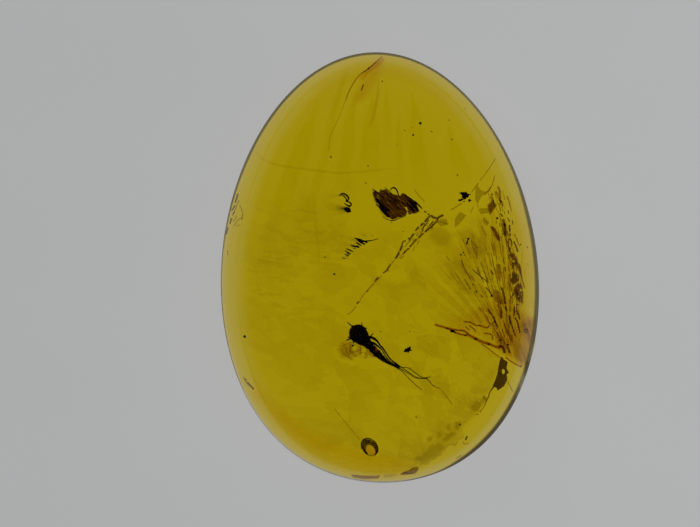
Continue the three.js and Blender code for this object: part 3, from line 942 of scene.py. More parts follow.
# The bark flake. It is a thin dark brown flake lying in the lower right of the stone, with a pin
# hole through it and a torn tail that runs down to the left.
FLAKE_OUTLINE = [
    (501.7, 356.6), (503.7, 359.4), (507.6, 362), (507, 365.2), (506.4, 368.3), (508.9, 372.6),
    (506.6, 374.2), (507.2, 379.4), (505.4, 383.4), (503.6, 386.4), (500.4, 388.6), (497.6, 390.4),
    (496.8, 388), (494.8, 386.8), (492.2, 388.4), (493.4, 384.6), (495.2, 380.2), (497.6, 373),
    (498.6, 366.2), (500, 360.4),
]
FLAKE_HOLE = (503.3, 371.6)
FLAKE_HOLE_SIZE = (1.55, 2.7)
FLAKE_HALF_THICKNESS = 0.03
FLAKE_TAIL = [
    ([(494, 386.4), (491.6, 389.6), (489.6, 392.6), (488.8, 396), (487, 399.6), (485.6, 402.4)], 1.2),
    ([(486.6, 400.6), (484.8, 398.4), (483.2, 396.2)], 1.1),
    ([(486, 402.4), (484.6, 405.6), (482, 409.4), (479.8, 412.6)], 0.9),
    ([(478.8, 413.8), (477.4, 414.6), (476, 414)], 0.8),
    ([(507.4, 380.8), (509.2, 384.4), (511, 388), (512.6, 391.8)], 0.7),
]


def flake_cover(x, y, inside):
    hole = math.hypot((x - FLAKE_HOLE[0]) / FLAKE_HOLE_SIZE[0], (y - FLAKE_HOLE[1]) / FLAKE_HOLE_SIZE[1])
    return clamp(0.5 + inside / 2.4) * clamp((hole - 0.7) * 1.8)


flake = Heap()
for lift in (FLAKE_HALF_THICKNESS, -FLAKE_HALF_THICKNESS):
    flake.sheet(FLAKE_OUTLINE, 0.4, SEAM + lift, flake_cover)
for line, width in FLAKE_TAIL:
    flake.line(line, width, SEAM)
flake_piece = flake.piece("bark_flake_fine", [
    stain_material("dark brown bark", (0.3, 0.24, 0.12, 1), (0.46, 0.38, 0.16, 1), 8000.0, 0.7),
])
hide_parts("bark_flake")


# The grains. They are black crumbs of dirt caught in the resin: one beside the gnat, one ragged
# lump near the upper right edge, and a scatter of specks too small to be pieces of the frame.
GRAIN_BY_GNAT = [
    ((405.6, 351.2), (0.06, 0.05, 0.05)), ((407.2, 350), (0.1, 0.07, 0.07)),
    ((409, 348.6), (0.07, 0.1, 0.07)), ((409.9, 347.6), (0.04, 0.04, 0.04)),
    ((410.4, 350), (0.05, 0.035, 0.04)), ((408.4, 351.6), (0.04, 0.05, 0.04)),
]
GRAIN_UPPER_RIGHT = [
    ((463.4, 193.6), (0.16, 0.07, 0.08)), ((466.2, 195), (0.13, 0.11, 0.1)),
    ((464.6, 196.8), (0.1, 0.1, 0.08)), ((461.9, 199.3), (0.07, 0.04, 0.04)),
    ((459.6, 200.3), (0.09, 0.045, 0.05)), ((469.4, 194.4), (0.08, 0.03, 0.04)),
    ((469.7, 200.4), (0.06, 0.065, 0.05)), ((464, 201.4), (0.035, 0.03, 0.03)),
    ((466, 192.6), (0.05, 0.04, 0.04)),
]
SPECKS = [
    (420.3, 123.3, 1.2), (413.3, 135, 0.9), (431.7, 131.6, 0.6), (451.8, 139.5, 0.6), (448.9, 120, 0.5),
    (465, 108.5, 0.5), (404.8, 130.4, 0.5), (457.6, 175.2, 0.6), (382.4, 81.4, 0.6), (368.1, 166, 0.6),
    (331, 157.1, 0.8), (325, 257.3, 0.7), (334.2, 274.1, 0.9), (244.7, 336.6, 1.3), (497.1, 218.2, 1.1),
    (468.2, 239, 1), (467.6, 241.2, 0.8), (467, 243.2, 1), (366, 183, 0.6), (463.4, 252.6, 0.7),
    (409.8, 331.2, 0.5), (520.6, 244.5, 0.7), (391.4, 222.6, 0.5), (403, 231.4, 0.5), (491.8, 295.9, 1.1),
    (495, 321.6, 1.1), (521.1, 366.2, 0.9), (476.5, 291.6, 0.8), (461, 254.8, 0.8), (464.4, 255, 0.5),
    (527.4, 247.3, 0.7), (527.7, 264.2, 0.5), (416.2, 417.2, 0.6), (526.4, 361.9, 0.7), (473.2, 284.4, 0.6),
    (368.8, 68.4, 0.8), (412.6, 127.6, 0.4), (397.2, 144.9, 0.4), (424.6, 336.2, 0.4), (380.6, 331.6, 0.5),
]
crumb_black = crumb_material("black dirt", DEAD_BLACK, (0.02, 0.014, 0.006, 1), 9000.0)
for name, parts in (("grain_by_insect", GRAIN_BY_GNAT), ("grain_upper_right", GRAIN_UPPER_RIGHT)):
    grain = Heap()
    lumps(grain, parts, 0.9)
    piece = grain.piece(name + "_fine", [crumb_black])
    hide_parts(name)
specks = Heap()
for px, py, size in SPECKS:
    centre = place(px, py, SEAM + 0.4 * noise.noise(Vector((px, py, 3))))
    points, faces = ball([size * PER_PIXEL] * 3, 14, 10)
    specks.add([p * (1 + 0.5 * noise.noise(p * 40)) + centre for p in points], faces)
specks_piece = specks.piece("specks", [
    crumb_material("dark brown specks", (0.008, 0.004, 0.002, 1), (0.04, 0.02, 0.007, 1), 9000.0),
])


# The cracks. They are old hairline fractures in the amber, stained dark where air and dirt got in:
# a knot above the middle from which two broken lines run down to the left, and their splinters.
KNOT_LINES = [
    ([(430.6, 215.4), (427, 219), (424.2, 222)], 1.5), ([(423.6, 222.8), (420.6, 225.8)], 1.6),
    ([(418.8, 226.6), (416.6, 229.2), (415.4, 231.2)], 1.3),
    ([(413.6, 233.4), (411.4, 237), (409, 240.8)], 1.4), ([(409.4, 237.6), (408.6, 239.4)], 1.8),
    ([(406, 240.4), (403.2, 241.8), (401.6, 245.8)], 1),
    ([(402.4, 245.4), (401, 248.4), (399.8, 251)], 1.6),
    ([(399.4, 251.4), (397.6, 255), (395.6, 258.4)], 1.5),
    ([(438.4, 218), (436, 222), (432, 226), (428.4, 229), (424.6, 232.4)], 1.5),
    ([(424, 233.2), (420.6, 235.6), (418.4, 237.6)], 1.1),
    ([(416.8, 238.4), (413.4, 242.8), (409.6, 247.2)], 1.1),
    ([(408.8, 248), (405.6, 251.4), (402.6, 254.4)], 1.1),
    ([(424.6, 223), (423.4, 228), (422.6, 231.6)], 0.8),
    ([(430.6, 215.4), (433.6, 217.4), (437.4, 218.4)], 1.9),
    ([(437.4, 218.4), (439.8, 216.6), (443.6, 215)], 1.8), ([(424.2, 211), (426.4, 212.6)], 1.1),
    ([(427.6, 213.6), (429.4, 215)], 1.1), ([(428.8, 219.6), (425.6, 224.6), (421.8, 228.8)], 0.8),
    ([(433.6, 221.4), (428.6, 226.4)], 0.9), ([(390.4, 264.4), (388.4, 267.4), (387, 271.4)], 1.5),
    ([(386.6, 270.8), (383, 273)], 1.2), ([(378.4, 277.6), (376.2, 279.8), (374.4, 281.6)], 1.7),
    ([(368.6, 289.6), (366.6, 292)], 0.9), ([(358.8, 301.4), (356.6, 304)], 1.1),
    ([(397.6, 256), (395, 258.6)], 1.3),
]
FINE_LINES = [
    ([(395, 259.4), (389, 266.6), (383, 273.6)], 1), ([(381.6, 275.4), (374, 284), (368, 290)], 0.9),
    ([(376.6, 279.8), (363.2, 294.9), (358.8, 303.4)], 0.8),
    ([(356.6, 305.8), (351, 312.2), (346.8, 314.6)], 0.9),
    ([(462.2, 203), (458.3, 205.4), (455, 207.8), (450.9, 209.6)], 1.1),
    ([(471.4, 192.6), (475, 187.4), (478.6, 182.8)], 1),
    ([(479.6, 181.4), (485, 174.2), (490.8, 166), (495.6, 158)], 0.8),
    ([(473.2, 206.6), (470.8, 212.6)], 0.8),
    ([(487.6, 191.6), (490.8, 187.6), (493, 182.4), (494.8, 175)], 1),
    ([(480.8, 225.4), (486.6, 236)], 0.9), ([(414.8, 190.2), (419, 196), (424.6, 201.6)], 0.8),
    ([(483.6, 217.6), (488.6, 223.2)], 0.9), ([(471.2, 240.6), (478.2, 248.6)], 1),
    ([(446, 255.7), (449.5, 260.6)], 0.9), ([(456.2, 458.4), (461.2, 455.2)], 1.1),
    ([(434, 222.6), (441, 222), (447.6, 224.6)], 0.8), ([(334, 408), (345, 422), (360, 440)], 0.6),
    ([(440.6, 389.2), (446.6, 396.6), (452.2, 404.6)], 0.8),
    ([(404.6, 247.6), (407.6, 243.6), (411.4, 240.2)], 0.8),
]
OLIVE_FACETS = [
    [(459.8, 212), (466.2, 215.2), (461.6, 221.4), (455, 227.6), (455, 218.6)],
    [(436.6, 222.4), (440.4, 218.6), (446.4, 219), (448.6, 224.4), (441, 226.2)],
    [(475.6, 187.8), (477.2, 185.4), (480.5, 190), (484, 191.6), (488.4, 190.6), (486.2, 193.2),
      (481.4, 196.6), (478.8, 201.2), (477.2, 203.6), (475.2, 199.4)],
    [(478.4, 209.6), (481.8, 208), (488.2, 208.4), (488.9, 212.8), (484.6, 213.4), (480.8, 214.6)],
    [(483.2, 217), (488.6, 222.6), (486.4, 226), (482.6, 221.6)],
    [(476.6, 202), (478.6, 206), (479.2, 210.6), (477.6, 206.6)],
]
FAINT_FACETS = [
    [(430, 228.6), (438, 226), (446.6, 230.4), (452.4, 236), (447.6, 244.6), (438.4, 246), (430.6, 238.4)],
    [(458, 232), (470, 228), (480, 238), (486, 252), (476, 256), (464, 246)],
    [(446, 262), (462, 258), (474, 276), (478, 296), (462, 292), (450, 280)],
]
CRACK_HEIGHT = SEAM - 0.1
SPLINTERS = 46
SPLINTERS_FROM, SPLINTERS_TO = Vector((434.0, 219.5)), Vector((399.0, 257.0))
random.seed(31)
cracks = Heap()
for line, width in KNOT_LINES:
    cracks.line(line, width * 1.2, CRACK_HEIGHT)
for line, width in FINE_LINES:
    cracks.line(line, width, CRACK_HEIGHT, 1)
for _ in range(SPLINTERS):
    along = random.random()
    start = SPLINTERS_FROM.lerp(SPLINTERS_TO, along)
    start += Vector((random.uniform(-6, 6), random.uniform(-3, 3))) * (1.1 - along * 0.5)
    run = Vector((random.uniform(-4.0, -1.5), random.uniform(1.5, 5.0)))
    splinter = [start, start + run * 0.5 + Vector((0.3, 0.2)), start + run]
    cracks.line(splinter, random.uniform(0.5, 0.8), CRACK_HEIGHT - 0.05, 1)
for outline in OLIVE_FACETS:
    cracks.flake(outline, 0.6, CRACK_HEIGHT - 0.1, 2, 0.2)
for outline in FAINT_FACETS:
    cracks.flake(outline, 0.8, CRACK_HEIGHT - 0.15, 3, 0.2, 7.0)
cracks_piece = cracks.piece("cracks", [
    stain_material("dark crack stain", (0.09, 0.05, 0.015, 1), (0.36, 0.28, 0.12, 1), 9000.0, 1.8),
    stain_material("faint brown crack", (0.45, 0.35, 0.16, 1), (0.8, 0.7, 0.45, 1), 6000.0, 1.3),
    stain_material("olive facet", (0.56, 0.52, 0.3, 1), (0.74, 0.71, 0.48, 1), 6500.0, 1.3),
    stain_material("faint olive facet", (0.76, 0.72, 0.52, 1), (0.92, 0.9, 0.75, 1), 5000.0, 3.4),
])


# The mottled fracture. It is a healed break through the right and lower parts of the stone, like
# frost on glass: patches with torn edges that dim the amber a little, and a ragged border below.
# Faint level streaks lie at the left of it.
FRACTURE_OUTLINE = [
    (232, 226), (246, 194), (300, 196), (352, 222), (430, 216), (462, 214), (486, 206), (504, 214),
    (524, 250), (529, 300), (522, 344), (503, 355), (500, 366), (495, 384), (488, 396), (480, 412),
    (469, 421), (463, 429), (466, 436.6), (458.6, 441.4), (455.6, 446.2), (449.5, 444.4), (445.3, 448.6),
    (442.9, 453.5), (439.8, 457.7), (436.2, 457.7), (431.4, 462), (424.1, 466.2), (418.6, 468.6),
    (415.6, 473.5), (402.9, 474.7), (384, 477), (352, 474), (310, 458), (272, 424), (244, 372), (230, 310),
]
FRACTURE_STEP = 2.2
LEVEL_STREAKS, STREAK_HEIGHT = 56, 2.0
PLATE_RUN = math.radians(-38)
PLATES = [(900.0, 0.6), (2600.0, 0.5)]
PLATE_TEAR = 0.00045
FROST_TINT = (0.84, 0.8, 0.6, 1)


def fracture_height(x, y):
    """The break rises from the lower left to the upper right."""
    return 1.7 + 0.0032 * (x - 380) - 0.0012 * (y - 330)


def fracture_cover(x, y, inside):
    """Faint at the upper left and fullest at the lower right, where its edge is firm."""
    coast = clamp((x - 380) / 60) * clamp((y - 300) / 60)
    edge = clamp(inside / (22 - 20 * coast))
    right = clamp((x - 290) / 170)
    low = clamp((y - 240) / 150)
    fresh = 0.45 + 0.3 * right + 0.2 * low * right
    clouds = 0.95 + 0.5 * noise.noise(Vector((x * 0.02, y * 0.02, 7)))
    return edge * min(fresh * clouds, 1)


def fracture_material():
    add, show = shader("mottled healed fracture")
    run = along_run(add, PLATE_RUN, (1.5, 1, 4))
    tears = add("TexNoise", {"Vector": run, "Scale": 3500.0, "Detail": 4.0, "Roughness": 0.65})
    tear = add("VectorMath", {0: tears.outputs["Color"], 1: (PLATE_TEAR,) * 3}, operation="MULTIPLY")
    torn = add("VectorMath", {0: run, 1: tear}, operation="ADD")
    depths = []
    for scale, share in PLATES:
        patch = add("TexVoronoi", {"Vector": torn, "Scale": scale}).outputs["Color"]
        depths.append(add("MapRange", {"Value": patch, "From Min": 0.42, "From Max": 0.62, "To Max": share}))
    both = add("Math", {0: depths[0], 1: depths[1]}, operation="ADD")
    cover = add("Math", {0: both, 1: covered(add)}, operation="MULTIPLY")
    return show(mixed(add, cover, add("BsdfTransparent", {"Color": FROST_TINT})))


random.seed(41)
fracture = Heap()
fracture.sheet(FRACTURE_OUTLINE, FRACTURE_STEP, fracture_height, fracture_cover)
for _ in range(LEVEL_STREAKS):
    start = Vector((random.triangular(240, 325, 285), random.triangular(196, 345, 235)))
    end = start + Vector((random.uniform(7, 24), random.uniform(-2, 5)))
    middle = start.lerp(end, 0.5) + Vector((0, random.uniform(-1.2, 1.2)))
    width, strength = random.uniform(1.8, 4.4), random.uniform(0.4, 0.8)
    fracture.line([start, middle, end], width, STREAK_HEIGHT, 1, strength)
fracture_piece = fracture.piece("mottled_fracture", [
    fracture_material(),
    stain_material("faint grey streak", (0.88, 0.87, 0.8, 1), (0.96, 0.955, 0.9, 1), 3400.0, 2.2),
])


# The stained fan. Fractures run in from the right edge and fan out up and to the left. Iron-brown
# stain fills the wedge nearest the edge and reddens its lower border, thin streaks follow the
# fan, and torn brown plates of stain line the right side.
VEIL_OUTLINE = [
    (434, 323), (448, 318), (466, 312), (484, 302), (496, 294), (508, 296), (516, 304), (524, 308),
    (531, 312), (536.5, 318), (537, 330), (534, 352), (526.5, 370), (514, 363.5), (505, 356.6),
    (503, 353.4), (496, 349), (488, 344.6), (476, 340.2), (464, 336.6), (450, 331.6),
]
VEIL_DEEP = [
    (502, 356), (494, 348), (495, 338), (503, 330), (516, 322), (528, 316), (538, 314), (536, 344),
    (529.5, 366), (522, 368.5), (512, 361.5),
]
VEIL_BORDERS = [
    ([(434.6, 324.4), (441, 326.4), (446.7, 328.1), (452.4, 330.8)], 1.8),
    ([(446, 327.8), (455.5, 330), (463.5, 330.8), (468.6, 333.8)], 1.7),
    ([(451.8, 330.8), (457, 333.2), (465.4, 335.4)], 1.5),
    ([(466, 333.6), (475.5, 338.6), (482.2, 342), (488.9, 344.2)], 2.4),
    ([(486, 342.4), (494.3, 346.2), (501, 347.8)], 2.2),
    ([(480.9, 343.8), (487.6, 348), (497, 355.3), (501.6, 358.6)], 0.8),
    ([(463.5, 321.4), (470.2, 322.4), (475.5, 325.4), (479.6, 325.7), (486.9, 327.7), (489.2, 326)], 1.1),
    ([(505, 356.9), (512, 362), (521, 367)], 1),
]
VEIL_SPOTS = [
    (452.2, 331, 2), (454.6, 332, 1.2), (465.6, 335.4, 1.3), (475.6, 338.8, 1.5), (489, 344.2, 1.2),
    (446.8, 328.6, 0.9), (508, 344.8, 1.2), (500.4, 340.6, 0.8), (470.2, 322.2, 0.8), (479.8, 325.6, 0.9),
    (488.6, 326.2, 0.8), (499.8, 345.8, 1),
]
FAN_DARK = [
    ([(493.6, 316), (495.6, 322.1), (497.6, 326.9)], 1.3), ([(503, 320), (506.4, 330.1), (509.7, 337)], 1),
    ([(509, 315.4), (511.7, 325.4), (515.7, 337)], 1.2),
    ([(514.6, 317.6), (517.7, 322.9), (519.9, 333)], 1.8),
    ([(515.6, 310.6), (517.9, 312.4), (519.9, 319.8)], 1.7),
    ([(500.5, 287.3), (502.6, 290), (504.3, 297.8), (505.4, 304.7)], 2.3),
    ([(505.2, 306), (506.8, 311)], 1.7), ([(487.5, 307.9), (490.9, 313.6), (495.4, 322)], 1.2),
    ([(490.6, 270.2), (493.4, 274.8)], 1.5), ([(485.6, 286.8), (489.9, 292.1), (492.2, 296.2)], 1.1),
    ([(472.2, 269.1), (479.9, 275.8), (488.2, 282.7)], 1.1),
    ([(461.2, 259.6), (464.6, 268.2), (470.9, 279.4)], 0.9),
    ([(502.4, 206.6), (502, 203), (501.2, 200.6)], 1.3), ([(500, 213.2), (502.8, 216.6)], 1.6),
    ([(504.4, 223), (505.6, 227.6)], 1.4), ([(507.4, 217.6), (509.6, 221.8)], 1.2),
    ([(509.5, 224.8), (509.7, 232)], 1.9), ([(509.8, 233), (510.2, 236.4)], 1.6),
    ([(509, 238.6), (511.2, 240.6), (511.8, 246)], 1.5), ([(508, 246.2), (510.8, 249.4)], 1.6),
    ([(512.3, 220.4), (513, 224.8)], 1.1), ([(513.8, 241.4), (515.8, 246), (517.9, 252.2)], 1.6),
    ([(508, 210.4), (508.8, 213.8)], 1), ([(490.4, 196.6), (491.4, 198.4)], 1.3),
    ([(491.4, 193.4), (492.8, 195.6)], 1.4), ([(499.7, 345.5), (503, 347.7), (504.4, 353.2)], 2.6),
    ([(506.8, 346), (508.6, 349.4), (510, 353.4)], 2), ([(511.2, 253), (508.6, 250)], 1.6),
    ([(514, 292), (512.6, 295.4), (511.2, 298.4)], 1.5), ([(513.4, 308.8), (514.5, 312.6)], 1.1),
]
FAN_BROWN = [
    ([(497.6, 186.4), (499.5, 190.5), (500, 199), (501.4, 202)], 1.9),
    ([(497.6, 304), (500.9, 311.7), (501.2, 318.4)], 2.4), ([(509.5, 314.6), (510.6, 325)], 1.5),
    ([(478.9, 307.4), (481, 311)], 1.1), ([(487, 316), (488.4, 318.4)], 1),
    ([(480.4, 294.6), (483, 297.4)], 1.2), ([(504.8, 267), (505.3, 271.4)], 1.6),
    ([(516.6, 304.4), (519.2, 304.7)], 1.2), ([(519.1, 263.4), (521.5, 276.8), (524.9, 288.6)], 1.2),
    ([(509.5, 274.2), (510.4, 282), (511.4, 291.8)], 1.1),
    ([(514.3, 234), (517, 240), (519.7, 246.8)], 0.9), ([(465.5, 326.7), (469.5, 330.2)], 1.1),
    ([(469.3, 325.5), (474.2, 329.4), (475.7, 332.4)], 1.4),
    ([(483.4, 333), (491.6, 334.8), (492.4, 340.4)], 1.4), ([(488.3, 309.8), (490.4, 314.2)], 1),
    ([(491.8, 322.5), (493.2, 326.2), (495.4, 331.6)], 1.1),
    ([(496, 331), (498, 336.4), (500.2, 341)], 1.1), ([(491.2, 226.4), (495.6, 232.6), (499, 240.6)], 2.6),
    ([(490.8, 186.6), (488, 191.4), (484, 194.6)], 1), ([(507.2, 196), (509.4, 203), (511.4, 212)], 0.9),
]
STAIN_PLATES = [
    ([(487.5, 205.2), (489.6, 203.4), (491.4, 201.5), (492.4, 198.6), (493.4, 201), (496.8, 205.4),
      (494.2, 208.7), (490.2, 214.6), (488.9, 211.4), (488.1, 208.4)], 0),
    ([(501.8, 219), (504.6, 219.4), (506, 224.6), (507, 231), (506.4, 237.4), (503.8, 235),
      (502.8, 227.6)], 0),
    ([(509, 254.4), (511.6, 253), (514, 253.6), (516, 257), (517.9, 261.4), (519.8, 266.6),
      (521.8, 277.2), (519.6, 274.6), (517.6, 268.6), (514.9, 264.2), (513.2, 268.2), (511.6, 269.6),
      (511.8, 264.4), (512, 259)], 0),
    ([(513.2, 270.4), (515.6, 273.4), (518.9, 275), (519.2, 280.4), (516.4, 282.4), (512.9, 284.9),
      (510.2, 280.4), (511.8, 277.6)], 1),
    ([(518.6, 282.6), (522, 286.4), (523.2, 294), (523.1, 303.6), (520.4, 301.8), (517, 300.6),
      (515.2, 296.2), (513.6, 291.2), (514.4, 287)], 0),
    ([(494, 289.4), (498.4, 290.6), (501.2, 297.2), (502.6, 303.6), (499, 304.6), (494.4, 300),
      (492.6, 294.6)], 2),
    ([(496.4, 263.6), (500.2, 264.4), (501.2, 272.4), (500.6, 281), (497.6, 279.6), (496.2, 271.6)], 2),
    ([(490, 225.6), (494.6, 227.6), (500.2, 236.4), (499, 242), (493.6, 236)], 2),
    ([(498.8, 310.6), (501.4, 311.4), (502.6, 317.6), (500.4, 319.6)], 2),
    ([(524.4, 328.8), (527.6, 328.6), (528.2, 331.6), (526.4, 333.4), (523.8, 331.8)], 1),
]
PLATE_HOLES = [
    (513.8, 261.2, 1.2), (520.5, 290.2, 1.3), (518.2, 296.6, 0.9), (525.9, 330.8, 0.8),
]
FAN_CAST = [
    (400, 268), (424, 254), (452, 238), (474, 214), (494, 186), (508, 200), (518, 232), (526, 266),
    (531, 300), (530, 330), (520, 346), (500, 345), (476, 333), (450, 326), (432, 318), (416, 296),
]
FAN_HEIGHT = 1.9
FAN_FOOT = Vector((512.0, 358.0))
FAN_STREAKS, CHAIN_FLECKS = 150, 110
CHAIN = [
    (498, 190), (503, 210), (507.5, 230), (512, 250), (516, 270), (519, 292), (520, 310),
]
random.seed(23)


def veil_material():
    """Iron stain: amber turned orange where it is thin, brown where it is thick, in streaks."""
    add, show = shader("iron-brown stain in the break")
    run = along_run(add, math.radians(-66), (0.0022, 0.0003, 0.001))
    streaks = add("TexNoise", {"Vector": run, "Scale": 1.0, "Detail": 5.0, "Roughness": 0.65})
    held = add("MapRange", {
        "Value": streaks,
        "From Min": 0.34,
        "From Max": 0.64,
        "To Min": 0.45,
        "To Max": 1.2,
    })
    depth = add("Math", {0: held, 1: covered(add)}, operation="MULTIPLY", use_clamp=True)
    colour = colours(add, depth, [(0, CLEAR), (0.4, (0.9, 0.76, 0.12, 1)), (1, (0.55, 0.4, 0.03, 1))])
    return show(add("BsdfTransparent", {"Color": colour}))


def veil_height(x, y):
    return 1.75 + 0.0035 * (x - 480)


def fading(strength, reach):
    """Cover for a sheet: none at its outline, and at this strength from this far in."""
    return lambda x, y, inside: strength * clamp(inside / reach)


def cast_cover(x, y, inside):
    """Streaks that point at the foot of the fan, strongest to the right."""
    turn = math.atan2(x - FAN_FOOT.x, FAN_FOOT.y - y)
    away = math.hypot(x - FAN_FOOT.x, FAN_FOOT.y - y)
    streak = noise.noise(Vector((turn * 18, away * 0.018, 5)))
    streak += 0.7 * noise.noise(Vector((turn * 47, away * 0.03, 9)))
    return clamp(inside / 14) * clamp(0.5 + streak * 1.1) * (0.22 + 0.7 * clamp((x - 425) / 80))


def veil_cover(x, y, inside):
    return clamp(inside / 7) * (0.28 + 0.3 * clamp((x - 450) / 60))


def plate_cover(x, y, inside):
    return clamp(0.5 + inside / 3) * open_share(x, y, PLATE_HOLES, 0.5)


fan = Heap()
fan.sheet(FAN_CAST, 0.9, lambda x, y: veil_height(x, y) - 0.05, cast_cover, 9)
fan.sheet(VEIL_OUTLINE, 1.6, veil_height, veil_cover, 0)
fan.sheet(VEIL_DEEP, 1.2, lambda x, y: veil_height(x, y) + 0.08, fading(0.75, 6), 0)
for line, width in VEIL_BORDERS:
    fan.line(line, width * 1.5, FAN_HEIGHT + 0.1, 1)
    fan.line(line, width * 0.7, FAN_HEIGHT + 0.15, 2)
for px, py, size in VEIL_SPOTS:
    centre = place(px, py, FAN_HEIGHT + 0.2)
    points, faces = ball((size * PER_PIXEL, size * PER_PIXEL * 0.7, 0.04), 14, 8)
    fan.add([p * (1 + 0.6 * noise.noise(p * 30 + centre)) + centre for p in points], faces, 3)
for line, width in FAN_DARK:
    fan.line(line, width * 0.9, FAN_HEIGHT + 0.05, 4)
for line, width in FAN_BROWN:
    fan.line(line, width, FAN_HEIGHT + 0.02, 2)
for outline, kind in STAIN_PLATES:
    fan.sheet(outline, 0.4, FAN_HEIGHT + 0.1, plate_cover, 5 + kind)
for _ in range(FAN_STREAKS):
    lean = math.radians(random.triangular(-40, 8, -14))
    near = random.uniform(12, 112)
    length = random.uniform(5, 15) * (0.5 + near / 90)
    away = Vector((math.sin(lean), -math.cos(lean)))
    start = FAN_FOOT + away * near
    end = start + away * length
    bend = start.lerp(end, 0.5) + Vector((random.uniform(-0.25, 0.25), 0))
    fan.line([start, bend, end], random.uniform(0.4, 0.85), FAN_HEIGHT, random.choice((2, 2, 8, 8, 8, 4)))
for _ in range(CHAIN_FLECKS):
    along = random.random() * (len(CHAIN) - 1.001)
    a, b = Vector(CHAIN[int(along)]), Vector(CHAIN[int(along) + 1])
    start = a.lerp(b, along % 1) + Vector((random.gauss(-2, 4), 0))
    end = start + (b - a).normalized() * random.uniform(3, 10) + Vector((random.uniform(-0.4, 0.4), 0))
    middle = start.lerp(end, 0.5) + Vector((random.uniform(-0.3, 0.3), 0))
    fan.line([start, middle, end], random.uniform(0.4, 1.0), FAN_HEIGHT + 0.05, random.choice((2, 8, 8, 4)))
fan_piece = fan.piece("stained_fan", [
    veil_material(),
    stain_material("orange stain line", (0.72, 0.42, 0.12, 1), (0.9, 0.66, 0.3, 1), 4500.0, 0.8),
    stain_material("red-brown stain line", (0.38, 0.2, 0.06, 1), (0.68, 0.48, 0.2, 1), 9000.0, 1.0),
    crumb_material("dark red stain spot", (0.02, 0.004, 0.002, 1), (0.08, 0.02, 0.008, 1), 9000.0),
    stain_material("dark brown streak", (0.14, 0.08, 0.02, 1), (0.4, 0.27, 0.08, 1), 9000.0, 1.1),
    stain_material("mottled brown plate", (0.17, 0.085, 0.02, 1), (0.46, 0.32, 0.12, 1), 11000.0, 2.3),
    stain_material("dark brown plate", (0.15, 0.09, 0.03, 1), (0.3, 0.2, 0.07, 1), 11000.0, 1.6),
    stain_material("worn brown plate", (0.45, 0.32, 0.12, 1), (0.78, 0.64, 0.35, 1), 6500.0, 2.2),
    stain_material("faint brown streak", (0.6, 0.45, 0.2, 1), (0.86, 0.74, 0.5, 1), 9000.0, 1.0),
    haze_material("brown cast of the fan", (0.74, 0.58, 0.35, 1), 5000.0, 0.7),
])


# The flow lines. Fresh resin ran down in sheets before it set. Their joins show as a crack from
# the top edge with an orange shadow, darker folds and soft bands that hang down from it, and one
# level line. The amber is warmer in colour just inside the rim.
TOP_CRACK = [
    (382.6, 56.5), (376.5, 61.5), (368.9, 68.4), (361.2, 73.7), (355.1, 80.6), (349, 91.3), (345.1, 102),
]
TOP_CRACK_END = [
    (345.1, 101), (338.3, 118.9), (330.6, 135.7), (328.3, 151),
]
ORANGE_SHADOW = [
    (381.6, 55.5), (387, 59), (385, 70), (381, 84), (374, 95), (362, 104), (352, 108), (350.4, 96.6),
    (358.4, 80), (369.4, 66.4),
]
ORANGE_STREAKS = [
    ([(378, 80.4), (377.3, 97.4), (373.4, 115.8), (368.9, 128)], 2.2, 0.55),
    ([(384, 57), (378, 63), (368, 71), (360, 80)], 3.6, 1),
    ([(313, 192), (315, 215), (317, 238), (319, 262)], 2.2, 0.3),
]
TOP_MARK = [(363.6, 84.2), (362.4, 87.4), (361.2, 90.7)]
CURTAIN = [
    (300, 84), (326, 66), (352, 57), (384, 54), (416, 60), (446, 84), (470, 112), (486, 146), (490, 180),
    (440, 196), (380, 190), (352, 250), (300, 250), (262, 190), (270, 130),
]
CURTAIN_ROD = Vector((388.0, -96.0))
CURTAIN_FOLDS = [
    (-0.392, -0.322, 92, 250), (-0.272, -0.236, 62, 240), (-0.196, -0.142, 78, 200),
    (-0.112, -0.036, 88, 180), (-0.02, 0.012, 64, 150), (0.03, 0.062, 96, 184), (0.09, 0.156, 84, 190),
    (0.18, 0.196, 90, 130), (0.245, 0.3, 112, 186), (0.33, 0.38, 120, 160),
]
FLOW_BANDS = [
    ([(348.4, 64.4), (341.8, 84.3), (336.4, 98.7), (330, 120)], 3.4, 0.5),
    ([(352, 172), (346, 196), (342, 226)], 8, 0.3), ([(300, 176), (304, 200), (312, 226)], 9, 0.3),
    ([(276, 200), (268, 236), (262, 276)], 9, 0.3),
]
LEVEL_LINE = [
    (256, 151), (262, 158.6), (272, 163.2), (285, 166.3), (310, 169.7), (337.8, 172.8), (358, 172),
    (379, 169.7), (398, 168.8),
]
CLOUDS = [
    ([(300, 190), (338, 186), (346, 214), (352, 240), (336, 264), (300, 252), (280, 216)], 0.3),
    ([(420, 224), (440, 222), (458, 232), (456, 252), (436, 262), (418, 250)], 0.34),
    ([(462, 300), (480, 292), (500, 312), (488, 324), (466, 318)], 0.3),
    ([(340, 426), (380, 418), (430, 430), (424, 470), (380, 480), (330, 468)], 0.24),
]
WARM_CASTS = [
    ([(252, 372), (276, 398), (312, 424), (350, 440), (392, 450), (430, 462), (404, 480), (366, 482),
      (322, 468), (280, 436), (248, 396)], 1),
    ([(300, 104), (326, 76), (358, 59), (386, 55), (414, 62), (446, 86), (470, 116), (456, 120),
      (420, 92), (382, 82), (340, 92), (306, 122)], 0.45),
    ([(516, 200), (530, 226), (538, 262), (540, 300), (536, 322), (522, 318), (519, 290), (516, 250),
      (508, 220)], 0.9),
]
FLOW_HEIGHT, TOP_HEIGHT = 2.0, 2.3


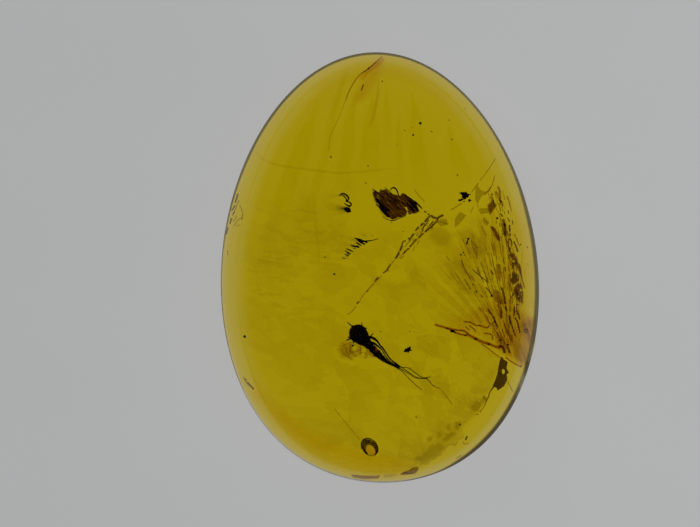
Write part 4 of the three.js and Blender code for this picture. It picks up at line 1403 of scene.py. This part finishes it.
def soft_band(heap, line, width, height, strength, pick):
    """A soft streak: its cover fades to both sides and both ends."""
    columns = 9
    spots, values = [], []
    for x, y, over, t in sideways(line, len(line) * 10):
        fade = math.sin(math.pi * clamp(t, 0.02, 0.98)) ** 0.6
        for j in range(columns):
            s = 2 * j / (columns - 1) - 1
            spots.append(place(x + over.x * s * width, y + over.y * s * width, height))
            values.append(strength * fade * (1 - s * s))
    heap.grid(spots, columns, pick, values)


def fold_cover(x, y, inside):
    """Bands of slightly darker amber that hang down and apart, like the folds of a curtain."""
    lean = (x - CURTAIN_ROD.x) / (y - CURTAIN_ROD.y) + 0.012 * noise.noise(Vector((x * 0.02, y * 0.03, 2)))
    held = 0.0
    for left, right, top, foot in CURTAIN_FOLDS:
        half = (right - left) / 2 * clamp((y - top) / 40, 0, 1.15)
        across = clamp((half - abs(lean - (left + right) / 2)) / 0.01)
        along = max(min((y - top) / 16, (foot - y) / 30, 1), 0)
        held = max(held, across * along)
    return held * clamp(inside / 6)


flow = Heap()
flow.sheet(CURTAIN, 1.3, FLOW_HEIGHT, fold_cover, 5)
flow.sheet(ORANGE_SHADOW, 1.0, FLOW_HEIGHT + 0.2, fading(0.5, 8), 0)
for line, width, strength in ORANGE_STREAKS:
    soft_band(flow, line, width, TOP_HEIGHT, strength, 0)
for line, width, strength in FLOW_BANDS:
    soft_band(flow, line, width, FLOW_HEIGHT + 0.1, strength, 1)
soft_band(flow, LEVEL_LINE, 1.5, TOP_HEIGHT, 0.8, 1)
flow.line(TOP_CRACK, 1.4, TOP_HEIGHT + 0.05, 2, 0.8)
flow.line(TOP_CRACK[1:4], 0.8, TOP_HEIGHT + 0.1, 4, 0.8)
flow.line(TOP_CRACK_END, 0.9, TOP_HEIGHT + 0.1, 3, 0.7)
flow.line(TOP_MARK, 1.2, TOP_HEIGHT + 0.1, 4)
for outline, strength in CLOUDS:
    flow.sheet(outline, 2.5, FLOW_HEIGHT, fading(strength, 14), 1)
for outline, strength in WARM_CASTS:
    flow.sheet(outline, 2.5, FLOW_HEIGHT, fading(strength, 12), 6)
flow_piece = flow.piece("flow_lines", [
    haze_material("orange flow shadow", (0.8, 0.5, 0.2, 1), 1.0, 0.6, (math.radians(70), 0.002, 0.0006)),
    haze_material("soft flow band", (0.8, 0.78, 0.3, 1), 1.0, 0.6, (math.radians(80), 0.006, 0.0006)),
    stain_material("red-brown crack line", (0.5, 0.33, 0.1, 1), (0.74, 0.56, 0.25, 1), 6000.0, 0.8),
    stain_material("olive crack line", (0.6, 0.55, 0.25, 1), (0.82, 0.78, 0.5, 1), 4000.0, 1.0),
    stain_material("dark brown mark", (0.2, 0.11, 0.03, 1), (0.45, 0.3, 0.1, 1), 8000.0, 0.8),
    haze_material("curtain fold", (0.945, 0.94, 0.12, 1), 900.0, 0.75),
    haze_material("warm cast near the rim", (0.97, 0.84, 0.12, 1), 500.0, 0.7),
])


# The ragged border of the fracture and the bruises on the edge. Dirt has gathered along the lower
# side of the break, and small bruises and dark dashes lie just inside the girdle at the left.
COAST_PATCHES = [
    ([(428, 447.6), (432.2, 444.4), (434.6, 445.4), (438.4, 442.6), (441.4, 445), (445.2, 446.2),
      (443.8, 450.1), (441, 452), (441.8, 455.1), (437.9, 456.4), (434.4, 459.8), (431, 460.4),
      (427.6, 464.6), (422.6, 464.2), (419.5, 466), (420.6, 461.4), (414.4, 459), (418, 456),
      (421.6, 457), (423.5, 452.5), (427, 452)], 1),
    ([(400.5, 474.3), (404.1, 471.9), (408.6, 470.3), (413.2, 467.4), (417.4, 466.6), (418.8, 468.6),
      (415.8, 473.5), (408.3, 474.3), (402.9, 474.9)], 0),
    ([(442.3, 438.9), (445.6, 437), (445.5, 433.6), (449.2, 434.2), (452.2, 431.4), (456.3, 433.6),
      (453.4, 436), (450.8, 436.9), (448.4, 440), (444.7, 441.4)], 1),
    ([(426.5, 437.7), (432.6, 436.1), (431.4, 440.6), (428.3, 441.8)], 1),
    ([(436.8, 433), (440.8, 431), (441.4, 436.6), (438.6, 438)], 1),
    ([(445.9, 427.4), (447.6, 424.6), (450.9, 422.8), (449.6, 426.8), (450.4, 430.4), (447.7, 429.6)], 1),
    ([(470.4, 408), (476, 400.4), (479.6, 402.4), (484.6, 395), (488.4, 397.6), (484, 404.4),
      (480.6, 405.8), (478.8, 411.6), (474, 411)], 1),
    ([(455.6, 421.4), (459.2, 422.8), (460.6, 424.6), (458.6, 427.6), (456.8, 430.2), (455.2, 426.2)], 1),
    ([(463.9, 437.3), (458.4, 440.6), (457, 444), (455.4, 446.6), (449.5, 444.8), (445.3, 449.2),
      (443.6, 452), (444, 447.8), (449, 443.2), (454.6, 443.6), (457.6, 440), (462.6, 436.6)], 1),
    ([(384, 474.8), (394, 474), (399, 475), (392, 477.4), (384, 477.6)], 1),
    ([(351, 474.4), (362, 475.6), (374, 476), (380, 475.4), (378, 478.6), (364, 479), (353, 477.4)], 0),
]
COAST_BAND = [
    (500, 366), (497, 382), (490, 396), (482, 410), (472, 421), (464, 430), (460, 440), (450, 447),
    (441, 458), (428, 465), (416, 472), (404, 470), (414, 452), (424, 436), (436, 420), (450, 404),
    (464, 390), (478, 376), (490, 364),
]
COAST_DASHES = [
    ([(467.3, 436.2), (466.4, 438), (465.2, 439.9)], 1.7, 1),
    ([(463.4, 441.2), (464, 443.9), (469, 443.2)], 0.7, 0), ([(459.6, 423.8), (460.6, 425.4)], 1.6, 1),
    ([(401, 474.4), (405, 472.6), (409, 473.6), (414, 473)], 1.5, 0),
]
LEFT_DASHES = [
    ([(238, 193.4), (236.8, 197.4), (235.2, 203)], 1.3, 1),
    ([(235.2, 205.2), (233.6, 208), (231.6, 210.6)], 1.3, 1), ([(235, 210.8), (232.4, 214.4)], 1.1, 1),
    ([(231.8, 217.8), (230.8, 220.8), (229.9, 223.8)], 1.4, 1),
    ([(228.3, 227.2), (227, 231), (226.1, 234.4)], 1.4, 1), ([(244.2, 378), (246.4, 381)], 1.3, 1),
    ([(247, 381.8), (250.4, 385.6), (254, 389.4)], 1.4, 1),
    ([(243, 376), (246, 382.4), (249.4, 386.4)], 0.7, 0),
    ([(239.4, 200), (236, 207.4), (232.6, 216.4)], 0.8, 0), ([(236.6, 216), (233.6, 221.6)], 0.7, 0),
    ([(239.6, 205), (242.6, 213), (241.4, 220)], 0.8, 0), ([(227.6, 250), (227.8, 255.4)], 0.8, 0),
    ([(243.4, 217), (238, 220), (234, 226)], 0.7, 0), ([(240.6, 224.6), (236, 226)], 0.7, 0),
]
DIRT_HEIGHT, DASH_HEIGHT = 1.6, 1.8
coast = Heap()
for outline, kind in COAST_PATCHES:
    coast.flake(outline, 0.5, DIRT_HEIGHT, kind)
coast.sheet(COAST_BAND, 1.0, DIRT_HEIGHT - 0.05, fading(0.46, 6), 2)
for line, width, kind in COAST_DASHES + LEFT_DASHES:
    coast.line(line, width, DASH_HEIGHT, 3 + kind)
coast_piece = coast.piece("edge_marks", [
    stain_material("red-brown dirt strip", (0.3, 0.19, 0.07, 1), (0.6, 0.46, 0.2, 1), 4200.0, 1.8),
    stain_material("brown dirt patch", (0.74, 0.7, 0.52, 1), (0.86, 0.83, 0.66, 1), 7000.0, 2.2),
    stain_material("faint dirt patch", (0.76, 0.73, 0.54, 1), (0.9, 0.88, 0.73, 1), 4200.0, 3.0),
    stain_material("brown edge line", (0.4, 0.3, 0.12, 1), (0.7, 0.58, 0.3, 1), 5000.0, 1.0),
    stain_material("dark edge bruise", (0.12, 0.09, 0.03, 1), (0.34, 0.27, 0.12, 1), 5500.0, 0.8),
])


# The table and the light. The stone lies on a pale light pad, a little wider than the picture, under
# two broad weak lamps, in a room that is pale low down and dark overhead and on the near side. Its
# own colour shows by the light passing through. Each side of the pad is an axis and a way along
# it, where it begins and ends to fade in metres, and what is left; each fade of the room is an
# axis of the direction looked in, a range on it, and the strengths at its ends.
TABLE_HALF = 600.0
TABLE_GAP = 0.04
PAD_SIDES = [
    ("X", 1, 0.0167, 0.04, 0.4), ("X", -1, 0.0197, 0.06, 0.75),
    ("Y", 1, 0.0142, 0.04, 0.4), ("Y", -1, 0.0142, 0.026, 0.12),
]
PAD_GLOW, PAD_DRIFT, PAD_DUST = 0.41, 0.035, 0.015
PAD_HALF_WIDTH = 0.018
LAMPS = [((-0.35, 0.3, 0.45), 0.35, 0.12), ((0.4, -0.25, 0.4), 0.35, 0.08)]
ROOM_FADES = [
    ("Z", 0.0, 0.28, 0.4, 0.006), ("Y", -0.7, 0.1, 0.15, 1.0), ("Y", 0.7, 0.97, 1.0, 0.4),
    ("X", 0.75, 0.97, 1.0, 0.4),
]
ROOM_COLOUR = (0.93, 0.96, 1, 1)
MOST_BOUNCES, MOST_FILMS = 16, 48


def table_material():
    add, show = shader("pale light pad")
    parts = add("SeparateXYZ", {"Vector": add("TexCoord").outputs["Object"]})
    pool = 1.0
    for axis, way, near, far, least in PAD_SIDES:
        fade = add("MapRange", {
            "Value": add("Math", {0: parts.outputs[axis], 1: way}, operation="MULTIPLY"),
            "From Min": near,
            "From Max": far,
            "To Min": 1.0,
            "To Max": least,
        }, interpolation_type="SMOOTHSTEP")
        pool = add("Math", {0: pool, 1: fade}, operation="MULTIPLY")
    drift = add("MapRange", {
        "Value": parts.outputs["X"],
        "From Min": -PAD_HALF_WIDTH,
        "From Max": PAD_HALF_WIDTH,
        "To Min": PAD_GLOW * (1 - PAD_DRIFT),
        "To Max": PAD_GLOW * (1 + PAD_DRIFT),
    })
    dust = add("TexNoise", {"Scale": 160.0, "Detail": 6.0})
    soft = add("MapRange", {"Value": dust, "To Min": 1 - PAD_DUST, "To Max": 1 + PAD_DUST})
    lit = add("Math", {0: pool, 1: drift}, operation="MULTIPLY")
    return show(add("BsdfPrincipled", {
        "Base Color": (0.55, 0.56, 0.57, 1),
        "Roughness": 0.8,
        "Emission Color": (0.985, 0.992, 1.0, 1),
        "Emission Strength": add("Math", {0: lit, 1: soft}, operation="MULTIPLY"),
    }))


table_mesh = bpy.data.meshes.new("table")
edge = TABLE_HALF * MM
corners = [(-edge, -edge, 0), (edge, -edge, 0), (edge, edge, 0), (-edge, edge, 0)]
table_mesh.from_pydata(corners, [], [(0, 1, 2, 3)])
table_mesh.materials.append(table_material())
table = bpy.data.objects.new("table", table_mesh)
table.location.z = -TABLE_GAP * MM
bpy.context.scene.collection.objects.link(table)

for at, size, watts in LAMPS:
    light = bpy.data.lights.new("soft lamp", "AREA")
    light.size = size
    light.energy = watts
    lamp = bpy.data.objects.new("soft lamp", light)
    lamp.location = at
    lamp.rotation_euler = (-Vector(at)).to_track_quat("-Z", "Y").to_euler()
    lamp.visible_glossy = False
    bpy.context.scene.collection.objects.link(lamp)

world = bpy.data.worlds.new("pale room")
bpy.context.scene.world = world
world.use_nodes = True
sky = world.node_tree
toward = sky.nodes.new("ShaderNodeTexCoord")
split = sky.nodes.new("ShaderNodeSeparateXYZ")
sky.links.new(toward.outputs["Generated"], split.inputs["Vector"])
wall = None
for axis, near, far, first, last in ROOM_FADES:
    fade = sky.nodes.new("ShaderNodeMapRange")
    for end, value in (("From Min", near), ("From Max", far), ("To Min", first), ("To Max", last)):
        fade.inputs[end].default_value = value
    sky.links.new(split.outputs[axis], fade.inputs["Value"])
    both = sky.nodes.new("ShaderNodeMath")
    both.operation = "MULTIPLY"
    both.inputs[1].default_value = 1.0
    sky.links.new(fade.outputs["Result"], both.inputs[0])
    if wall:
        sky.links.new(wall, both.inputs[1])
    wall = both.outputs["Value"]
sky.links.new(wall, sky.nodes["Background"].inputs["Strength"])
sky.nodes["Background"].inputs["Color"].default_value = ROOM_COLOUR

scene = bpy.context.scene
scene.view_settings.view_transform = "Standard"
scene.cycles.max_bounces = MOST_BOUNCES
scene.cycles.transmission_bounces = MOST_BOUNCES
scene.cycles.transparent_max_bounces = MOST_FILMS
